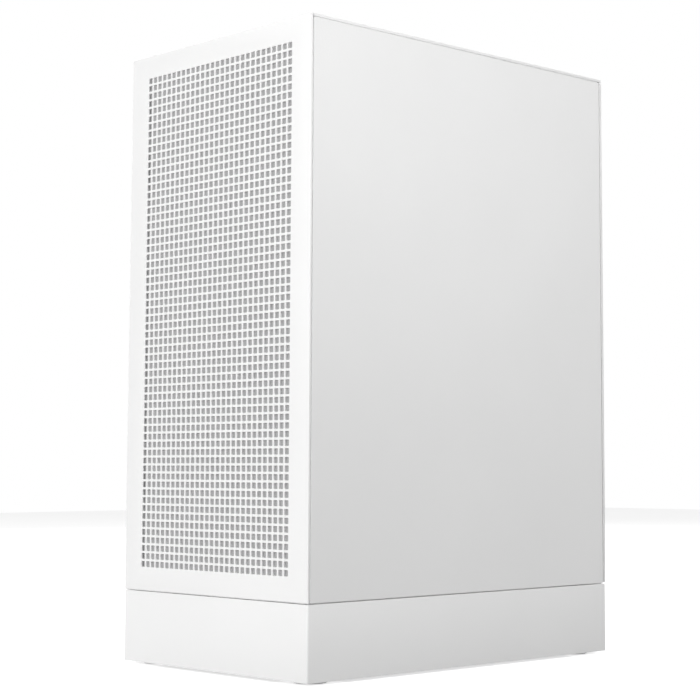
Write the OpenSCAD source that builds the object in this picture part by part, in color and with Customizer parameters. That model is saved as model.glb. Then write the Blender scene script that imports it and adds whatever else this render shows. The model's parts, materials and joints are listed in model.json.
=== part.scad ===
// Compact desktop computer tower: a steel case on a plinth, with a perforated front, and the
// computer inside it. Millimetres, +Z up, front towards -Y. The origin is the centre of the
// footprint, on the ground.

/* [Case] */
// Width over the two side panels
case_w = 215; // [215:1:222]
// Depth from the front panel's face to the rear sheet
case_d = 315; // [315:1:325]
// Height from the plinth's lower edge to the top panel
case_h = 465; // [465:1:475]
// Height of the plinth
plinth_h = 53; // [53:1:58]
// Open seam between neighbouring outer panels
seam = 0.8; // [0.6:0.1:1.0]
// Height of the rubber feet below the plinth
foot_proud = 2; // [2:0.5:4]
// Length of the thumb screws' heads behind the rear sheet
rear_proud = 7; // [6:0.5:8]

/* [Sheet metal] */
// Thickness of the chassis sheets
sheet = 1; // [0.8:0.1:1.0]
// Thickness of the outer steel panels
skin = 1.2; // [1.0:0.1:1.2]
// Thickness of the glass side panel
glass_t = 4; // [3:0.5:4]
// Wall of the plinth
plinth_wall = 2.5; // [2:0.5:3]

/* [Perforation] */
// Distance between neighbouring holes
hole_pitch = 6; // [6:0.1:6.2]
// Side of one square hole
hole_side = 4.2; // [3.6:0.1:4.6]
// Columns of holes across the front and the top
hole_columns = 29; // [25:2:29]
// Rows of holes that one slot stands for
rows_per_slot = 9; // [9:1:9]
// Slots up each column of the front panel
front_slots = 7; // [7:1:7]
// Slots along each column of the top panel
top_slots = 4; // [3:1:4]

/* [Fans] */
// Side of a case fan's frame
fan_side = 120; // [120:1:120]
// Thickness of a case fan
fan_depth = 25; // [20:1:25]
// Distance between a fan's screw holes
fan_screw_pitch = 105; // [105:1:105]
// Blades on a case fan
fan_blades = 9; // [7:2:11]
// Angle of the blades to the fan's plane
blade_tilt = 38; // [30:1:42]

/* [Board and cards] */
// Side of the square micro-ATX board
board_side = 244; // [244:1:244]
// Distance between the centres of two expansion slots
slot_pitch = 20.32; // [20.32:0.01:20.32]
// Length of the graphics card
card_len = 238; // [220:1:240]
// Height of the memory modules over the board
module_h = 40; // [32:1:42]

/* [Power supply] */
// Width of the power supply
psu_w = 150; // [150:1:150]
// Height of the power supply
psu_h = 86; // [86:1:86]
// Length of the power supply
psu_d = 140; // [125:1:140]

/* [Hidden] */
$fn = 48;
eps = 0.01;

// Outer envelope.
half_w = case_w / 2;
front_y = -(case_d + rear_proud) / 2;
rear_y = front_y + case_d;
plinth_z0 = foot_proud;
plinth_z1 = plinth_z0 + plinth_h;
panel_z0 = plinth_z1 + seam;
top_z = foot_proud + case_h;
top_t = 2;                        // edge height of the top panel
front_t = 1.4;                    // edge depth of the front panel
front_field_z = (panel_z0 + top_z) / 2 + 2.1;   // middle of the front's perforation
rear_edge = 2.2;                  // depth of the rear sheet's folded edge
side_z1 = top_z - top_t - seam;   // top of both side panels
side_y0 = front_y + front_t + seam;
side_y1 = rear_y - rear_edge - seam;
flange = 8;                       // depth of the side panel's return flanges

// Chassis box inside the outer panels.
chassis_x = 96;                   // half width of the chassis
floor_z = plinth_z1 + 1;          // underside of the floor pan, on the plinth's pads
floor_top = floor_z + sheet;
chassis_y0 = front_y + 13;        // front of the fan plate
fan_plate_back = chassis_y0 + sheet;
rear_in = rear_y - sheet;         // inner face of the rear sheet
frame_z = top_z - 15;             // underside of the top frame
frame_top = frame_z + sheet;
post_y = 20;                      // width of a corner post along Y
left_post_x = 6;                  // depth of a left post along X
tray_x = 82;                      // inner face of the board's tray
tray_back = tray_x + sheet;
shroud_z = 150;                   // underside of the shroud's top
shroud_y0 = -118;                 // front end of the shroud

// Snap studs and their sockets.
stud_r = 1.5;
ball_r = 2.7;
socket_r = 3;
socket_outer_r = 4.4;
socket_len = 5;
side_stud_y = [-137, 143];
side_stud_z = [71, 437];
front_stud_x = 91;
front_stud_z = [76, 444];
top_stud_x = 88;
top_stud_y = [-96, 138];

// Fans: centres of the 120 mm frames and the air side each one starts from.
rotor_gap = 2;                    // rotor's setback from the frame's face
fan_bore_r = 57.5;
rotor_r = 56.5;
rotor_hub_r = 18.5;
screw_r = 2.1;                    // shank of a fan's screw
front_fan_z = [143, 263, 383];
rear_fan_x = -29;
rear_fan_z = 362;
rear_fan_y0 = rear_in - fan_depth;

// Board: plane of the circuit board and what stands on it.
board_t = 1.6;
standoff_h = 6.5;
board_back = tray_x - standoff_h;
board_face = board_back - board_t;
board_y1 = rear_in - 1;
board_y0 = board_y1 - board_side;
board_z1 = 430;
board_z0 = board_z1 - board_side;
cpu_y = board_y1 - 88;
cpu_z = board_z1 - 78;
io_x0 = 33;                       // input and output plate, 44.5 by 158.75
io_x1 = io_x0 + 44.5;
io_z1 = board_z1 - 4;
io_z0 = io_z1 - 158.75;
slot_x0 = -38;
slot_x1 = 68;
slot_open = 13;                   // height of one slot's window
function slot_z(k) = io_z0 - 14 - slot_pitch * k;
screw_x = -46;                    // line of the slot screws

// Processor cooler.
fin_x0 = -81;
fin_x1 = 29;
fin_y0 = cpu_y - 22;
fin_y1 = cpu_y + 26;
fin_half_z = 60;
cooler_fan_y0 = fin_y0 - fan_depth;
pipe_r = 3;
pipe_bend = 10;
pipe_y = [-15, -5, 5, 15];
pipe_z = [32, 44, 32, 44];        // half distance between the two legs of each pipe
pipe_x = fin_x0 - 3;              // free ends of the pipes
cold_x0 = 58;
cold_x1 = 67;

// Graphics card.
card_z = slot_z(0);
card_y1 = rear_in - sheet;
card_y0 = card_y1 - card_len;
card_x0 = -45;
card_x1 = 61;
card_fan_y = [card_y0 + 62, card_y0 + 168];
card_fan_x = -1;
card_fan_r = 43;
card_low = card_z - 40;
video_x = [-28, -3, 22];          // low edge of each of the card's video sockets

// Power supply.
psu_x0 = -89;
psu_x1 = psu_x0 + psu_w;
psu_y1 = rear_in;
psu_y0 = psu_y1 - psu_d;
psu_z0 = floor_top + 1;
psu_z1 = psu_z0 + psu_h;
psu_wall = 1.2;
psu_fan_x = (psu_x0 + psu_x1) / 2;
psu_fan_y = psu_y0 + 62;
psu_fan_z0 = psu_z0 + psu_wall;
psu_port_z = [psu_z0 + 35.5, psu_z0 + 52.5];   // rows of its cable sockets
psu_port_x0 = psu_x0 + 25;
psu_port_pitch = 20;
function psu_port_x(i) = psu_port_x0 + psu_port_pitch * i;
inlet_x = psu_x1 - 24;
inlet_z = psu_z0 + 24;
rocker_x = inlet_x;
rocker_z = inlet_z + 34;
rocker_y = psu_y1 - 4;
rocker_rest = 8;                  // lean of the rocker at rest, in degrees

// Drive cage, across the front of the power supply's chamber.
cage_x0 = -88;
cage_x1 = 64;
cage_y0 = -117;
cage_y1 = -13;
cage_z1 = 118;
bay_z = [60, 89];                 // floor of each drive bay
drive_size = [147, 101.6, 26.1];

// Sockets and button on the top, in a row near the front edge.
top_row_y = -137;
button_x = 72;
jack_x = 48;
usb_c_x = 28;
usb_a_x = [4, -22];
button_r = 7;
button_proud = 0.8;
jack_r = 1.8;

// Air filter that slides out of the plinth.
filter_half_w = 97;
filter_y0 = front_y + 12;
filter_y1 = rear_y - 1;
filter_z0 = plinth_z1 - 11.7;
filter_t = 5;

// Box between two opposite corners.
module block(low, high) translate(low) cube(high - low);

// Flat shape with four round corners, centred.
module rounded_square(w, h, r) {
  square([w - 2 * r, h], center = true);
  square([w, h - 2 * r], center = true);
  for (i = [-1, 1], j = [-1, 1])
    translate([i * (w / 2 - r), j * (h / 2 - r)]) circle(r);
}

// Children at both signs of X.
module both_sides() for (s = [-1, 1]) scale_x(s) children();
module scale_x(s) if (s > 0) children(); else mirror([1, 0, 0]) children();

// Turns a shape drawn in XY with height Z so that its height runs along +Y, and its Y is +Z.
module along_y(y) translate([0, y, 0]) rotate([90, 0, 0]) mirror([0, 0, 1]) children();

// Turns a shape drawn with height Z so that its height runs along +X.
module along_x(x) translate([x, 0, 0]) rotate([90, 0, 90]) children();

// Columns of slots, each as long as a run of square holes, centred in XY.
module slot_field(columns, slots) {
  slot_len = (rows_per_slot - 1) * hole_pitch + hole_side;
  for (i = [0:columns - 1], j = [0:slots - 1])
    translate([(i - (columns - 1) / 2) * hole_pitch,
               (j - (slots - 1) / 2) * rows_per_slot * hole_pitch])
      square([hole_side, slot_len], center = true);
}

// Rows of slots inside a circle, with a web down the middle.
module round_grille(r, pitch, slot) {
  rows = floor(r / pitch);
  for (j = [-rows:rows]) {
    reach = sqrt(r * r - (abs(j) * pitch + slot / 2) * (abs(j) * pitch + slot / 2));
    if (reach > 8)
      for (s = [-1, 1])
        translate([s * (reach / 2 + 1), j * pitch]) square([reach - 2, slot], center = true);
  }
}

// ---------------------------------------------------------------- case

module base_plinth() color("white") {
  deck = 3;
  ledge = 17;
  rail_x = filter_half_w - 6;
  difference() {
    translate([0, (front_y + rear_y) / 2, plinth_z0])
      linear_extrude(plinth_h) rounded_square(case_w, case_d, 1.5);
    block([-half_w + plinth_wall, front_y + plinth_wall, plinth_z0 - 1],
          [half_w - plinth_wall, rear_y - plinth_wall, plinth_z1 - deck]);
    block([-half_w + ledge + plinth_wall, front_y + ledge, plinth_z1 - deck - 1],
          [half_w - ledge - plinth_wall, rear_y - ledge, plinth_z1 + 1]);
    block([-filter_half_w - 1, rear_y - plinth_wall - 1, filter_z0 - 0.3],
          [filter_half_w + 1, rear_y + 1, filter_z0 + filter_t + 1]);
  }
  // Rails that carry the air filter.
  both_sides()
    block([rail_x, front_y + plinth_wall, filter_z0 - 2.8],
          [half_w - plinth_wall, rear_y - plinth_wall, filter_z0 - 0.3]);
  // Corner plates for the feet.
  both_sides() for (y = [front_y + plinth_wall, rear_y - plinth_wall - 34])
    difference() {
      block([half_w - plinth_wall - 34, y, plinth_z0],
            [half_w - plinth_wall, y + 34, plinth_z0 + 3]);
      translate([half_w - plinth_wall - 17, y + 17, plinth_z0 - 1]) cylinder(r = 3.6, h = 5);
    }
  // Pads under the floor pan.
  both_sides() for (y = [front_y + 22, 0, rear_y - 22])
    translate([chassis_x - 4, y, plinth_z1]) cylinder(r = 3, h = floor_z - plinth_z1);
}

module rubber_feet() color("dimgray")
  both_sides() for (y = [front_y + plinth_wall + 17, rear_y - plinth_wall - 17])
    translate([half_w - plinth_wall - 17, y, 0]) {
      cylinder(r = 12, h = foot_proud);
      cylinder(r = 3.5, h = foot_proud + 4.5);
    }

module floor_pan() color("white") {
  difference() {
    block([-chassis_x, chassis_y0, floor_z], [chassis_x, rear_in, floor_top]);
    for (y = [psu_fan_y, -62])
      translate([psu_fan_x, y, floor_z - 1]) linear_extrude(sheet + 2) slot_field(17, 2);
  }
  // Side lips between the posts, and pads under the power supply.
  both_sides()
    block([chassis_x - sheet, fan_plate_back + post_y + 1, floor_top - eps],
          [chassis_x, rear_in - post_y - 1, floor_top + 12]);
  for (x = [psu_x0 + 8, psu_x1 - 8], y = [psu_y0 + 8, psu_y1 - 8])
    translate([x, y, floor_top - eps]) cylinder(r = 4, h = psu_z0 - floor_top + eps);
}

module rear_panel() color("white") {
  difference() {
    block([-half_w, rear_in, floor_z], [half_w, rear_y, side_z1]);
    block([io_x0, rear_in - 1, io_z0], [io_x1, rear_y + 1, io_z1]);
    for (k = [0:3])
      block([slot_x0, rear_in - 1, slot_z(k) - slot_open / 2],
            [slot_x1, rear_y + 1, slot_z(k) + slot_open / 2]);
    block([psu_x0 + 5, rear_in - 1, psu_z0 + 4], [psu_x1 - 5, rear_y + 1, psu_z1 - 4]);
    along_y(rear_in - 1) translate([rear_fan_x, rear_fan_z]) {
      linear_extrude(sheet + 2) round_grille(54, hole_pitch, hole_side);
      screw_corners() cylinder(r = screw_r + 0.1, h = sheet + 2);
    }
    // Vents over the cable room and beside the slots.
    for (x = [88 : hole_pitch : 94], z = [100 : 60 : 400])
      block([x, rear_in - 1, z], [x + hole_side, rear_y + 1, z + 50]);
  }
  // Folded edges that show beside the side panels.
  both_sides()
    block([half_w - 2, rear_y - rear_edge, floor_z], [half_w, rear_in + eps, side_z1]);
}

module front_fan_plate() color("white")
  difference() {
    block([-chassis_x, chassis_y0, floor_top], [chassis_x, fan_plate_back, frame_z]);
    for (z = front_fan_z)
      along_y(chassis_y0 - 1) translate([0, z]) linear_extrude(sheet + 2) circle(fan_bore_r - 0.5);
    for (z = front_fan_z)
      translate([0, chassis_y0 - 1, z]) fan_upright()
        screw_corners() cylinder(r = screw_r + 0.1, h = sheet + 2);
    // Long slots beside the fans.
    both_sides() for (z = [70 : 60 : 400])
      block([70, chassis_y0 - 1, z], [75, fan_plate_back + 1, z + 46]);
  }

module top_frame() color("white") {
  difference() {
    block([-chassis_x, chassis_y0, frame_z], [chassis_x, rear_in, frame_top]);
    for (i = [-5:5], y = [-108, 4])
      block([i * 14 - 4, y, frame_z - 1], [i * 14 + 4, y + 104, frame_top + 1]);
    block([84, -122, frame_z - 1], [94.5, -106, frame_top + 1]);
  }
  both_sides()
    block([chassis_x - sheet, chassis_y0, frame_top - eps], [chassis_x, rear_in, frame_top + 10]);
}

// Window behind the processor, and slots for the cables.
cut_y = [cpu_y - 40, cpu_y + 40];
cut_z = [cpu_z - 48, cpu_z + 52];
grommet_y = board_y0 - 17;
grommet_z = [226, 334, 409];
grommet_len = 66;
grommet_w = 22;

module motherboard_tray() color("white")
  difference() {
    block([tray_x, fan_plate_back, floor_top], [tray_back, rear_in, frame_z]);
    block([tray_x - 1, cut_y[0], cut_z[0]], [tray_back + 1, cut_y[1], cut_z[1]]);
    for (z = grommet_z)
      along_x(tray_x - 1) translate([grommet_y, z])
        linear_extrude(sheet + 2) rounded_square(grommet_w, grommet_len, 8);
    // Low window and high notch through which cables pass to and from the cable room.
    block([tray_x - 1, -12, 70], [tray_back + 1, 4, 135]);
    block([tray_x - 1, 112, 433], [tray_back + 1, 132, 447]);
  }

module cable_grommets() color("dimgray")
  for (z = grommet_z)
    along_x(tray_x - 1.5) translate([grommet_y, z]) {
      linear_extrude(1.5) grommet_ring(grommet_w + 6, grommet_len + 6);
      translate([0, 0, 1.5 - eps]) linear_extrude(sheet + 2 * eps)
        grommet_ring(grommet_w - 0.1, grommet_len - 0.1);
      translate([0, 0, 1.5 + sheet]) linear_extrude(1.5) grommet_ring(grommet_w + 6, grommet_len + 6);
    }
module grommet_ring(w, h)
  difference() {
    rounded_square(w, h, 8);
    rounded_square(grommet_w - 5, grommet_len - 5, 6);
  }

// Folded tube of sheet between two corners, open at both ends of Z.
module post(low, high)
  difference() {
    block(low, high);
    block([low[0] + skin, low[1] + skin, low[2] - 1], [high[0] - skin, high[1] - skin, high[2] + 1]);
  }

module frame_posts() color("white")
  for (y = [fan_plate_back, rear_in - post_y]) {
    post([-chassis_x, y, floor_top], [-chassis_x + left_post_x, y + post_y, frame_z]);
    post([tray_back, y, floor_top], [chassis_x, y + post_y, frame_z]);
  }

module psu_shroud() color("white") {
  wall_x = -chassis_x + 1.2;
  difference() {
    union() {
      block([wall_x, shroud_y0, shroud_z], [tray_x, rear_in - post_y - 1, shroud_z + sheet]);
      block([-chassis_x + left_post_x + 0.5, rear_in - post_y - 1 - eps, shroud_z],
            [tray_x, rear_in, shroud_z + sheet]);
      block([wall_x, shroud_y0, floor_top], [wall_x + sheet, rear_in - post_y - 1, shroud_z + eps]);
    }
    // Vents over the drives and a slot for the card's cable.
    for (i = [-6:6])
      block([i * 10 - 8, -98, shroud_z - 1], [i * 10 - 2, -30, shroud_z + 2]);
    block([-75, -22, shroud_z - 1], [-25, 2, shroud_z + 2]);
  }
}

// Steel brackets at the expansion slots: two blank covers, and the card's own with its sockets.
module slot_brackets() color("silver") {
  for (k = [2, 3])
    difference() {
      block([screw_x - 4, rear_in - sheet, slot_z(k) - 9], [slot_x1 + 4, rear_in, slot_z(k) + 9]);
      bracket_vents(slot_z(k));
    }
  difference() {
    block([screw_x - 4, rear_in - sheet, slot_z(1) - 9], [slot_x1 + 4, rear_in, slot_z(0) + 9]);
    bracket_vents(slot_z(1));
    for (x = video_x)
      block([x - 0.3, rear_in - 2, card_z - 6.8], [x + 16.3, rear_in + 1, card_z - 0.2]);
  }
  for (x = video_x)
    difference() {
      block([x, card_y1 - 12, card_z - 6.5], [x + 16, rear_y - 0.5, card_z - 0.8]);
      block([x + 0.8, rear_y - 9, card_z - 5.9], [x + 15.2, rear_y + 1, card_z - 1.4]);
    }
}
module bracket_vents(z)
  for (i = [0:8])
    block([slot_x0 + 5 + i * 11, rear_in - 2, z - 3.5], [slot_x0 + 12 + i * 11, rear_in + 1, z + 3.5]);

module thumb_screws() color("silver")
  for (k = [0:3])
    along_y(rear_y) translate([screw_x, slot_z(k)]) {
      cylinder(r = 5, h = rear_proud - 2);
      translate([0, 0, rear_proud - 2 - eps]) cylinder(r = 3.6, h = 2 + eps);
    }

// Ring that grips a ball stud, standing on a surface at height 0.
module clip_socket()
  difference() {
    cylinder(r = socket_outer_r, h = socket_len);
    translate([0, 0, -1]) cylinder(r = socket_r, h = socket_len + 2);
    block([-0.6, -socket_outer_r - 1, 1.5], [0.6, socket_outer_r + 1, socket_len + 1]);
  }

module clip_sockets() color("whitesmoke") {
  both_sides() {
    for (y = side_stud_y, z = side_stud_z)
      along_x(chassis_x) translate([y, z]) clip_socket();
    for (z = front_stud_z)
      translate([front_stud_x, chassis_y0, z]) rotate([90, 0, 0]) clip_socket();
    for (y = top_stud_y)
      translate([top_stud_x, y, frame_top]) clip_socket();
  }
}

// Pin with a ball at its end, of that reach from its panel.
module ball_stud(reach) {
  cylinder(r = stud_r, h = reach);
  translate([0, 0, reach]) sphere(ball_r);
  cylinder(r = 3.6, h = 0.8);
}

// ---------------------------------------------------------------- drives

module drive_cage() color("white") {
  difference() {
    block([cage_x0, cage_y0, floor_top], [cage_x1, cage_y1, cage_z1]);
    block([cage_x0 - 1, cage_y0 + sheet, floor_top - 1], [cage_x1 + 1, cage_y1 - sheet, cage_z1 - sheet]);
    for (x = [cage_x0 + 20 : 24 : cage_x1 - 20])
      block([x, cage_y0 - 1, 68], [x + 14, cage_y1 + 1, 80]);
  }
  // Ledges that carry a drive in each bay.
  for (z = bay_z, y = [cage_y0 + sheet - eps, cage_y1 - sheet - 8 + eps])
    block([cage_x0, y, z - 1], [cage_x1, y + 8, z]);
}

module hard_drive() color("silver") {
  y0 = (cage_y0 + cage_y1 - drive_size[1]) / 2;
  x0 = cage_x1 - 3 - drive_size[0];
  z0 = bay_z[0];
  difference() {
    block([x0, y0, z0], [x0 + drive_size[0], y0 + drive_size[1], z0 + drive_size[2]]);
    // Relief round the lid and the recess for the data and power plugs.
    block([x0 + 4, y0 - 1, z0 + 21], [x0 + drive_size[0] - 4, y0 + 2, z0 + drive_size[2] + 1]);
    block([x0 + 4, y0 + drive_size[1] - 2, z0 + 21],
          [x0 + drive_size[0] - 4, y0 + drive_size[1] + 1, z0 + drive_size[2] + 1]);
    block([x0 + drive_size[0] - 6, y0 + 12, z0 - 1], [x0 + drive_size[0] + 1, y0 + 54, z0 + 7]);
  }
}

// ---------------------------------------------------------------- top sockets and button

usb_a_size = [13.1, 5.7];
usb_c_size = [9.2, 3.4];
socket_top = top_z - 0.3;
housing_top = top_z - top_t - 0.5;
housing_y = [top_row_y - 9, top_row_y + 9];

module io_housing() color("dimgray")
  difference() {
    block([usb_a_x[1] - 14, housing_y[0], frame_top], [button_x + 12, housing_y[1], housing_top]);
    for (x = usb_a_x)
      translate([x, top_row_y, frame_top + 1])
        linear_extrude(20) square(usb_a_size + [0.2, 0.2], center = true);
    translate([usb_c_x, top_row_y, frame_top + 1])
      linear_extrude(20) rounded_square(usb_c_size[0] + 0.2, usb_c_size[1] + 0.2, 1.7);
    translate([jack_x, top_row_y, frame_top + 1]) cylinder(r = 3.6, h = 20);
    translate([button_x, top_row_y, frame_top + 2]) cylinder(r = button_r + 0.6, h = 20);
  }

module io_sockets() color("silver") {
  z0 = frame_top + 1;
  depth = socket_top - z0;
  for (x = usb_a_x)
    translate([x, top_row_y, z0]) {
      difference() {
        linear_extrude(depth) square(usb_a_size, center = true);
        translate([0, 0, 1]) linear_extrude(depth) square(usb_a_size - [0.6, 0.6], center = true);
      }
      translate([0, 1.2, 1 - eps]) linear_extrude(depth - 2) square([11, 1.8], center = true);
    }
  translate([usb_c_x, top_row_y, z0]) {
    difference() {
      linear_extrude(depth) rounded_square(usb_c_size[0], usb_c_size[1], 1.6);
      translate([0, 0, 1])
        linear_extrude(depth) rounded_square(usb_c_size[0] - 0.6, usb_c_size[1] - 0.6, 1.3);
    }
    translate([0, 0, 1 - eps]) linear_extrude(depth - 2) square([6.6, 0.7], center = true);
  }
  translate([jack_x, top_row_y, z0])
    difference() {
      cylinder(r = 3.5, h = depth);
      translate([0, 0, 1]) cylinder(r = jack_r, h = depth);
    }
}

module power_button() color("white")
  translate([button_x, top_row_y, 0]) {
    translate([0, 0, frame_top + 5]) cylinder(r = button_r, h = top_z + button_proud - frame_top - 5);
    translate([0, 0, frame_top + 4]) cylinder(r = 3, h = 1 + eps);
  }

// ---------------------------------------------------------------- fans

// Children at the four screw places of a fan.
module screw_corners()
  for (i = [-1, 1], j = [-1, 1])
    translate([i * fan_screw_pitch / 2, j * fan_screw_pitch / 2]) children();

// Frame of a 120 mm fan, standing on its air-in face, with its motor plate at the other face.
module fan_frame() {
  flange_t = 4;
  difference() {
    union() {
      for (z = [0, fan_depth - flange_t])
        translate([0, 0, z]) linear_extrude(flange_t) rounded_square(fan_side - 0.6, fan_side - 0.6, 6);
      cylinder(r = fan_bore_r + 1.6, h = fan_depth);
    }
    translate([0, 0, -1]) cylinder(r = fan_bore_r, h = fan_depth + 2);
    translate([0, 0, -1]) screw_corners() cylinder(r = screw_r + 0.1, h = fan_depth + 2);
  }
  translate([0, 0, fan_depth - 2]) cylinder(r = rotor_hub_r + 0.5, h = 2);
  for (a = [45 : 90 : 315])
    rotate(a) block([rotor_hub_r - 1, -2.5, fan_depth - 2], [fan_bore_r + 1, 2.5, fan_depth]);
}

// Impeller: a cap with tilted blades, standing on its air-in face.
module rotor(r, hub_r, depth, blades, chord) {
  difference() {
    cylinder(r = hub_r, h = depth);
    translate([0, 0, 2]) cylinder(r = hub_r - 1.5, h = depth);
  }
  for (i = [0:blades - 1])
    rotate(i * 360 / blades)
      intersection() {
        difference() {
          cylinder(r = r, h = depth);
          translate([0, 0, -1]) cylinder(r = hub_r - 0.7, h = depth + 2);
        }
        translate([0, 0, depth / 2]) rotate([blade_tilt, 0, 0])
          translate([0, -chord / 2, -0.8]) cube([r + 5, chord, 1.6]);
      }
}

module case_rotor() rotor(rotor_r, rotor_hub_r, fan_depth - 2 * rotor_gap - 1, fan_blades, 30);

module fan_frames() color("white") {
  for (z = front_fan_z) translate([0, fan_plate_back, z]) fan_upright() fan_frame();
  translate([rear_fan_x, rear_fan_y0, rear_fan_z]) fan_upright() fan_frame();
  translate([psu_fan_x, psu_fan_y, psu_fan_z0]) fan_frame();
  translate([(fin_x0 + fin_x1) / 2, cooler_fan_y0, cpu_z]) fan_upright() fan_frame();
}

// Turns a fan so that it blows towards +Y.
module fan_upright() rotate([-90, 0, 0]) children();
module front_rotor(k)
  translate([0, fan_plate_back + rotor_gap, front_fan_z[k]]) fan_upright() case_rotor();

// ---------------------------------------------------------------- board

module motherboard() color("whitesmoke")
  block([board_face, board_y0, board_z0], [board_back, board_y1, board_z1]);

// Screw places of the board, clear of its sockets.
standoff_y = [board_y0 + 10, board_y0 + 110, board_y1 - 26];
standoff_z = [board_z0 + 16, board_z0 + 112, board_z1 - 20];

module standoffs() color("goldenrod")
  for (y = standoff_y, z = standoff_z)
    along_x(board_back) translate([y, z]) cylinder(r = 3, h = standoff_h, $fn = 6);

// Pan head of a screw, standing on a surface at height 0.
module screw_head(r, h) {
  cylinder(r = r, h = h * 0.5);
  translate([0, 0, h * 0.5 - eps]) cylinder(r = r * 0.8, h = h * 0.5 + eps);
}

module case_screws() color("silver") {
  for (y = standoff_y, z = standoff_z)
    translate([board_face, y, z]) rotate([0, -90, 0]) screw_head(3, 1.8);
  along_y(rear_y) translate([rear_fan_x, rear_fan_z]) screw_corners() fan_screw();
  for (x = [psu_x0 + 2.5, psu_x1 - 2.5], z = [psu_z0 + 8, psu_z1 - 8])
    along_y(rear_y) translate([x, z]) screw_head(3.2, 2);
  for (z = front_fan_z)
    translate([0, chassis_y0, z]) rotate([90, 0, 0]) screw_corners() fan_screw();
}

// Screw whose head stands on a surface at height 0 and whose shank goes into a fan below it.
module fan_screw() {
  screw_head(4, 2);
  translate([0, 0, -sheet - 7]) cylinder(r = screw_r, h = sheet + 7 + eps);
}

module processor() color("silver") {
  // Package with its lid, in the open frame of its socket.
  block([cold_x1, cpu_y - 19, cpu_z - 19], [board_face - 2.9, cpu_y + 19, cpu_z + 19]);
}

module board_heatsinks() color("silver") {
  // Finned blocks beside and over the processor.
  finned_block([44, cpu_y + 46, cpu_z - 50], [board_face, cpu_y + 66, cpu_z + 50], 8);
  finned_block([50, cpu_y - 40, cpu_z + 48], [board_face, cpu_y + 40, cpu_z + 66], 0);
  // Plates over the chip set and the solid-state drive.
  block([board_face - 9, board_y0 + 14, board_z0 + 16], [board_face, board_y0 + 66, board_z0 + 68]);
  block([board_face - 9, cpu_y - 62, slot_z(1) - 11], [board_face, cpu_y + 30, slot_z(1) + 11]);
}

// Block with grooves across Z, cut from its free face at low X.
module finned_block(low, high, grooves)
  difference() {
    block(low, high);
    if (grooves > 0)
      for (i = [1:grooves]) {
        z = low[2] + (high[2] - low[2]) * i / (grooves + 1);
        block([low[0] - 1, low[1] - 1, z - 2], [high[0] - 8, high[1] + 1, z + 2]);
      }
  }

module_y = [cpu_y - 56, cpu_y - 65.5, cpu_y - 75, cpu_y - 84.5];
module_z0 = board_z1 - 158;
socket_x = board_face - 8;        // top of the memory and card sockets

module board_sockets() color("dimgray") {
  // Memory sockets with a latch at each end.
  for (y = module_y)
    difference() {
      union() {
        block([socket_x, y - 3.2, module_z0], [board_face, y + 3.2, module_z0 + 142]);
        for (z = [module_z0 - 3, module_z0 + 138])
          block([socket_x - 10, y - 2.4, z], [board_face, y + 2.4, z + 7]);
      }
      block([socket_x - 11, y - 0.9, module_z0 + 4], [board_face - 0.5, y + 0.9, module_z0 + 138]);
    }
  // Card sockets: a long one, a short one and another long one.
  card_socket(slot_z(0), 89);
  card_socket(slot_z(2), 25);
  card_socket(slot_z(3), 89);
  // Main and processor power sockets, and drive sockets.
  block([board_face - 12, board_y0 + 2, cpu_z - 40], [board_face, board_y0 + 12, cpu_z + 12]);
  block([board_face - 12, board_y1 - 34, board_z1 - 12], [board_face, board_y1 - 16, board_z1 - 2]);
  for (z = [board_z0 + 78, board_z0 + 94])
    block([board_face - 9, board_y0 + 2, z], [board_face, board_y0 + 18, z + 13]);
  // Frame of the processor's socket.
  difference() {
    block([board_face - 3.5, cpu_y - 26, cpu_z - 30], [board_face, cpu_y + 26, cpu_z + 30]);
    block([board_face - 5, cpu_y - 19.5, cpu_z - 19.5], [board_face - 2.9, cpu_y + 19.5, cpu_z + 19.5]);
  }
}
module card_socket(z, length)
  difference() {
    block([board_face - 11, 100 - length, z - 3.7], [board_face, 100, z + 3.7]);
    block([board_face - 12, 101.5 - length, z - 1], [board_face - 2, 98.5, z + 1]);
  }

module memory_modules() color("whitesmoke")
  for (y = [module_y[1], module_y[3]]) {
    block([board_face - module_h, y - 0.7, module_z0 + 4.5], [board_face - 0.5, y + 0.7, module_z0 + 137.5]);
    block([board_face - module_h - 2, y - 3.5, module_z0 + 5], [socket_x - 2, y + 3.5, module_z0 + 137]);
  }

// ---------------------------------------------------------------- rear sockets

port_y0 = rear_in - 20;           // inner end of the rear sockets
port_y1 = rear_y - 0.2;
port_x = board_face;              // side that the rear sockets stand on

// Distance of each row of rear sockets below the plate's top.
usb_rows = [24, 44, 64];
video_rows = [92, 112];
net_row = 130;
audio_row = 148;
audio_half = 5.2;
audio_x = [for (k = [0:2]) port_x - audio_half - 12 * k];

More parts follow.
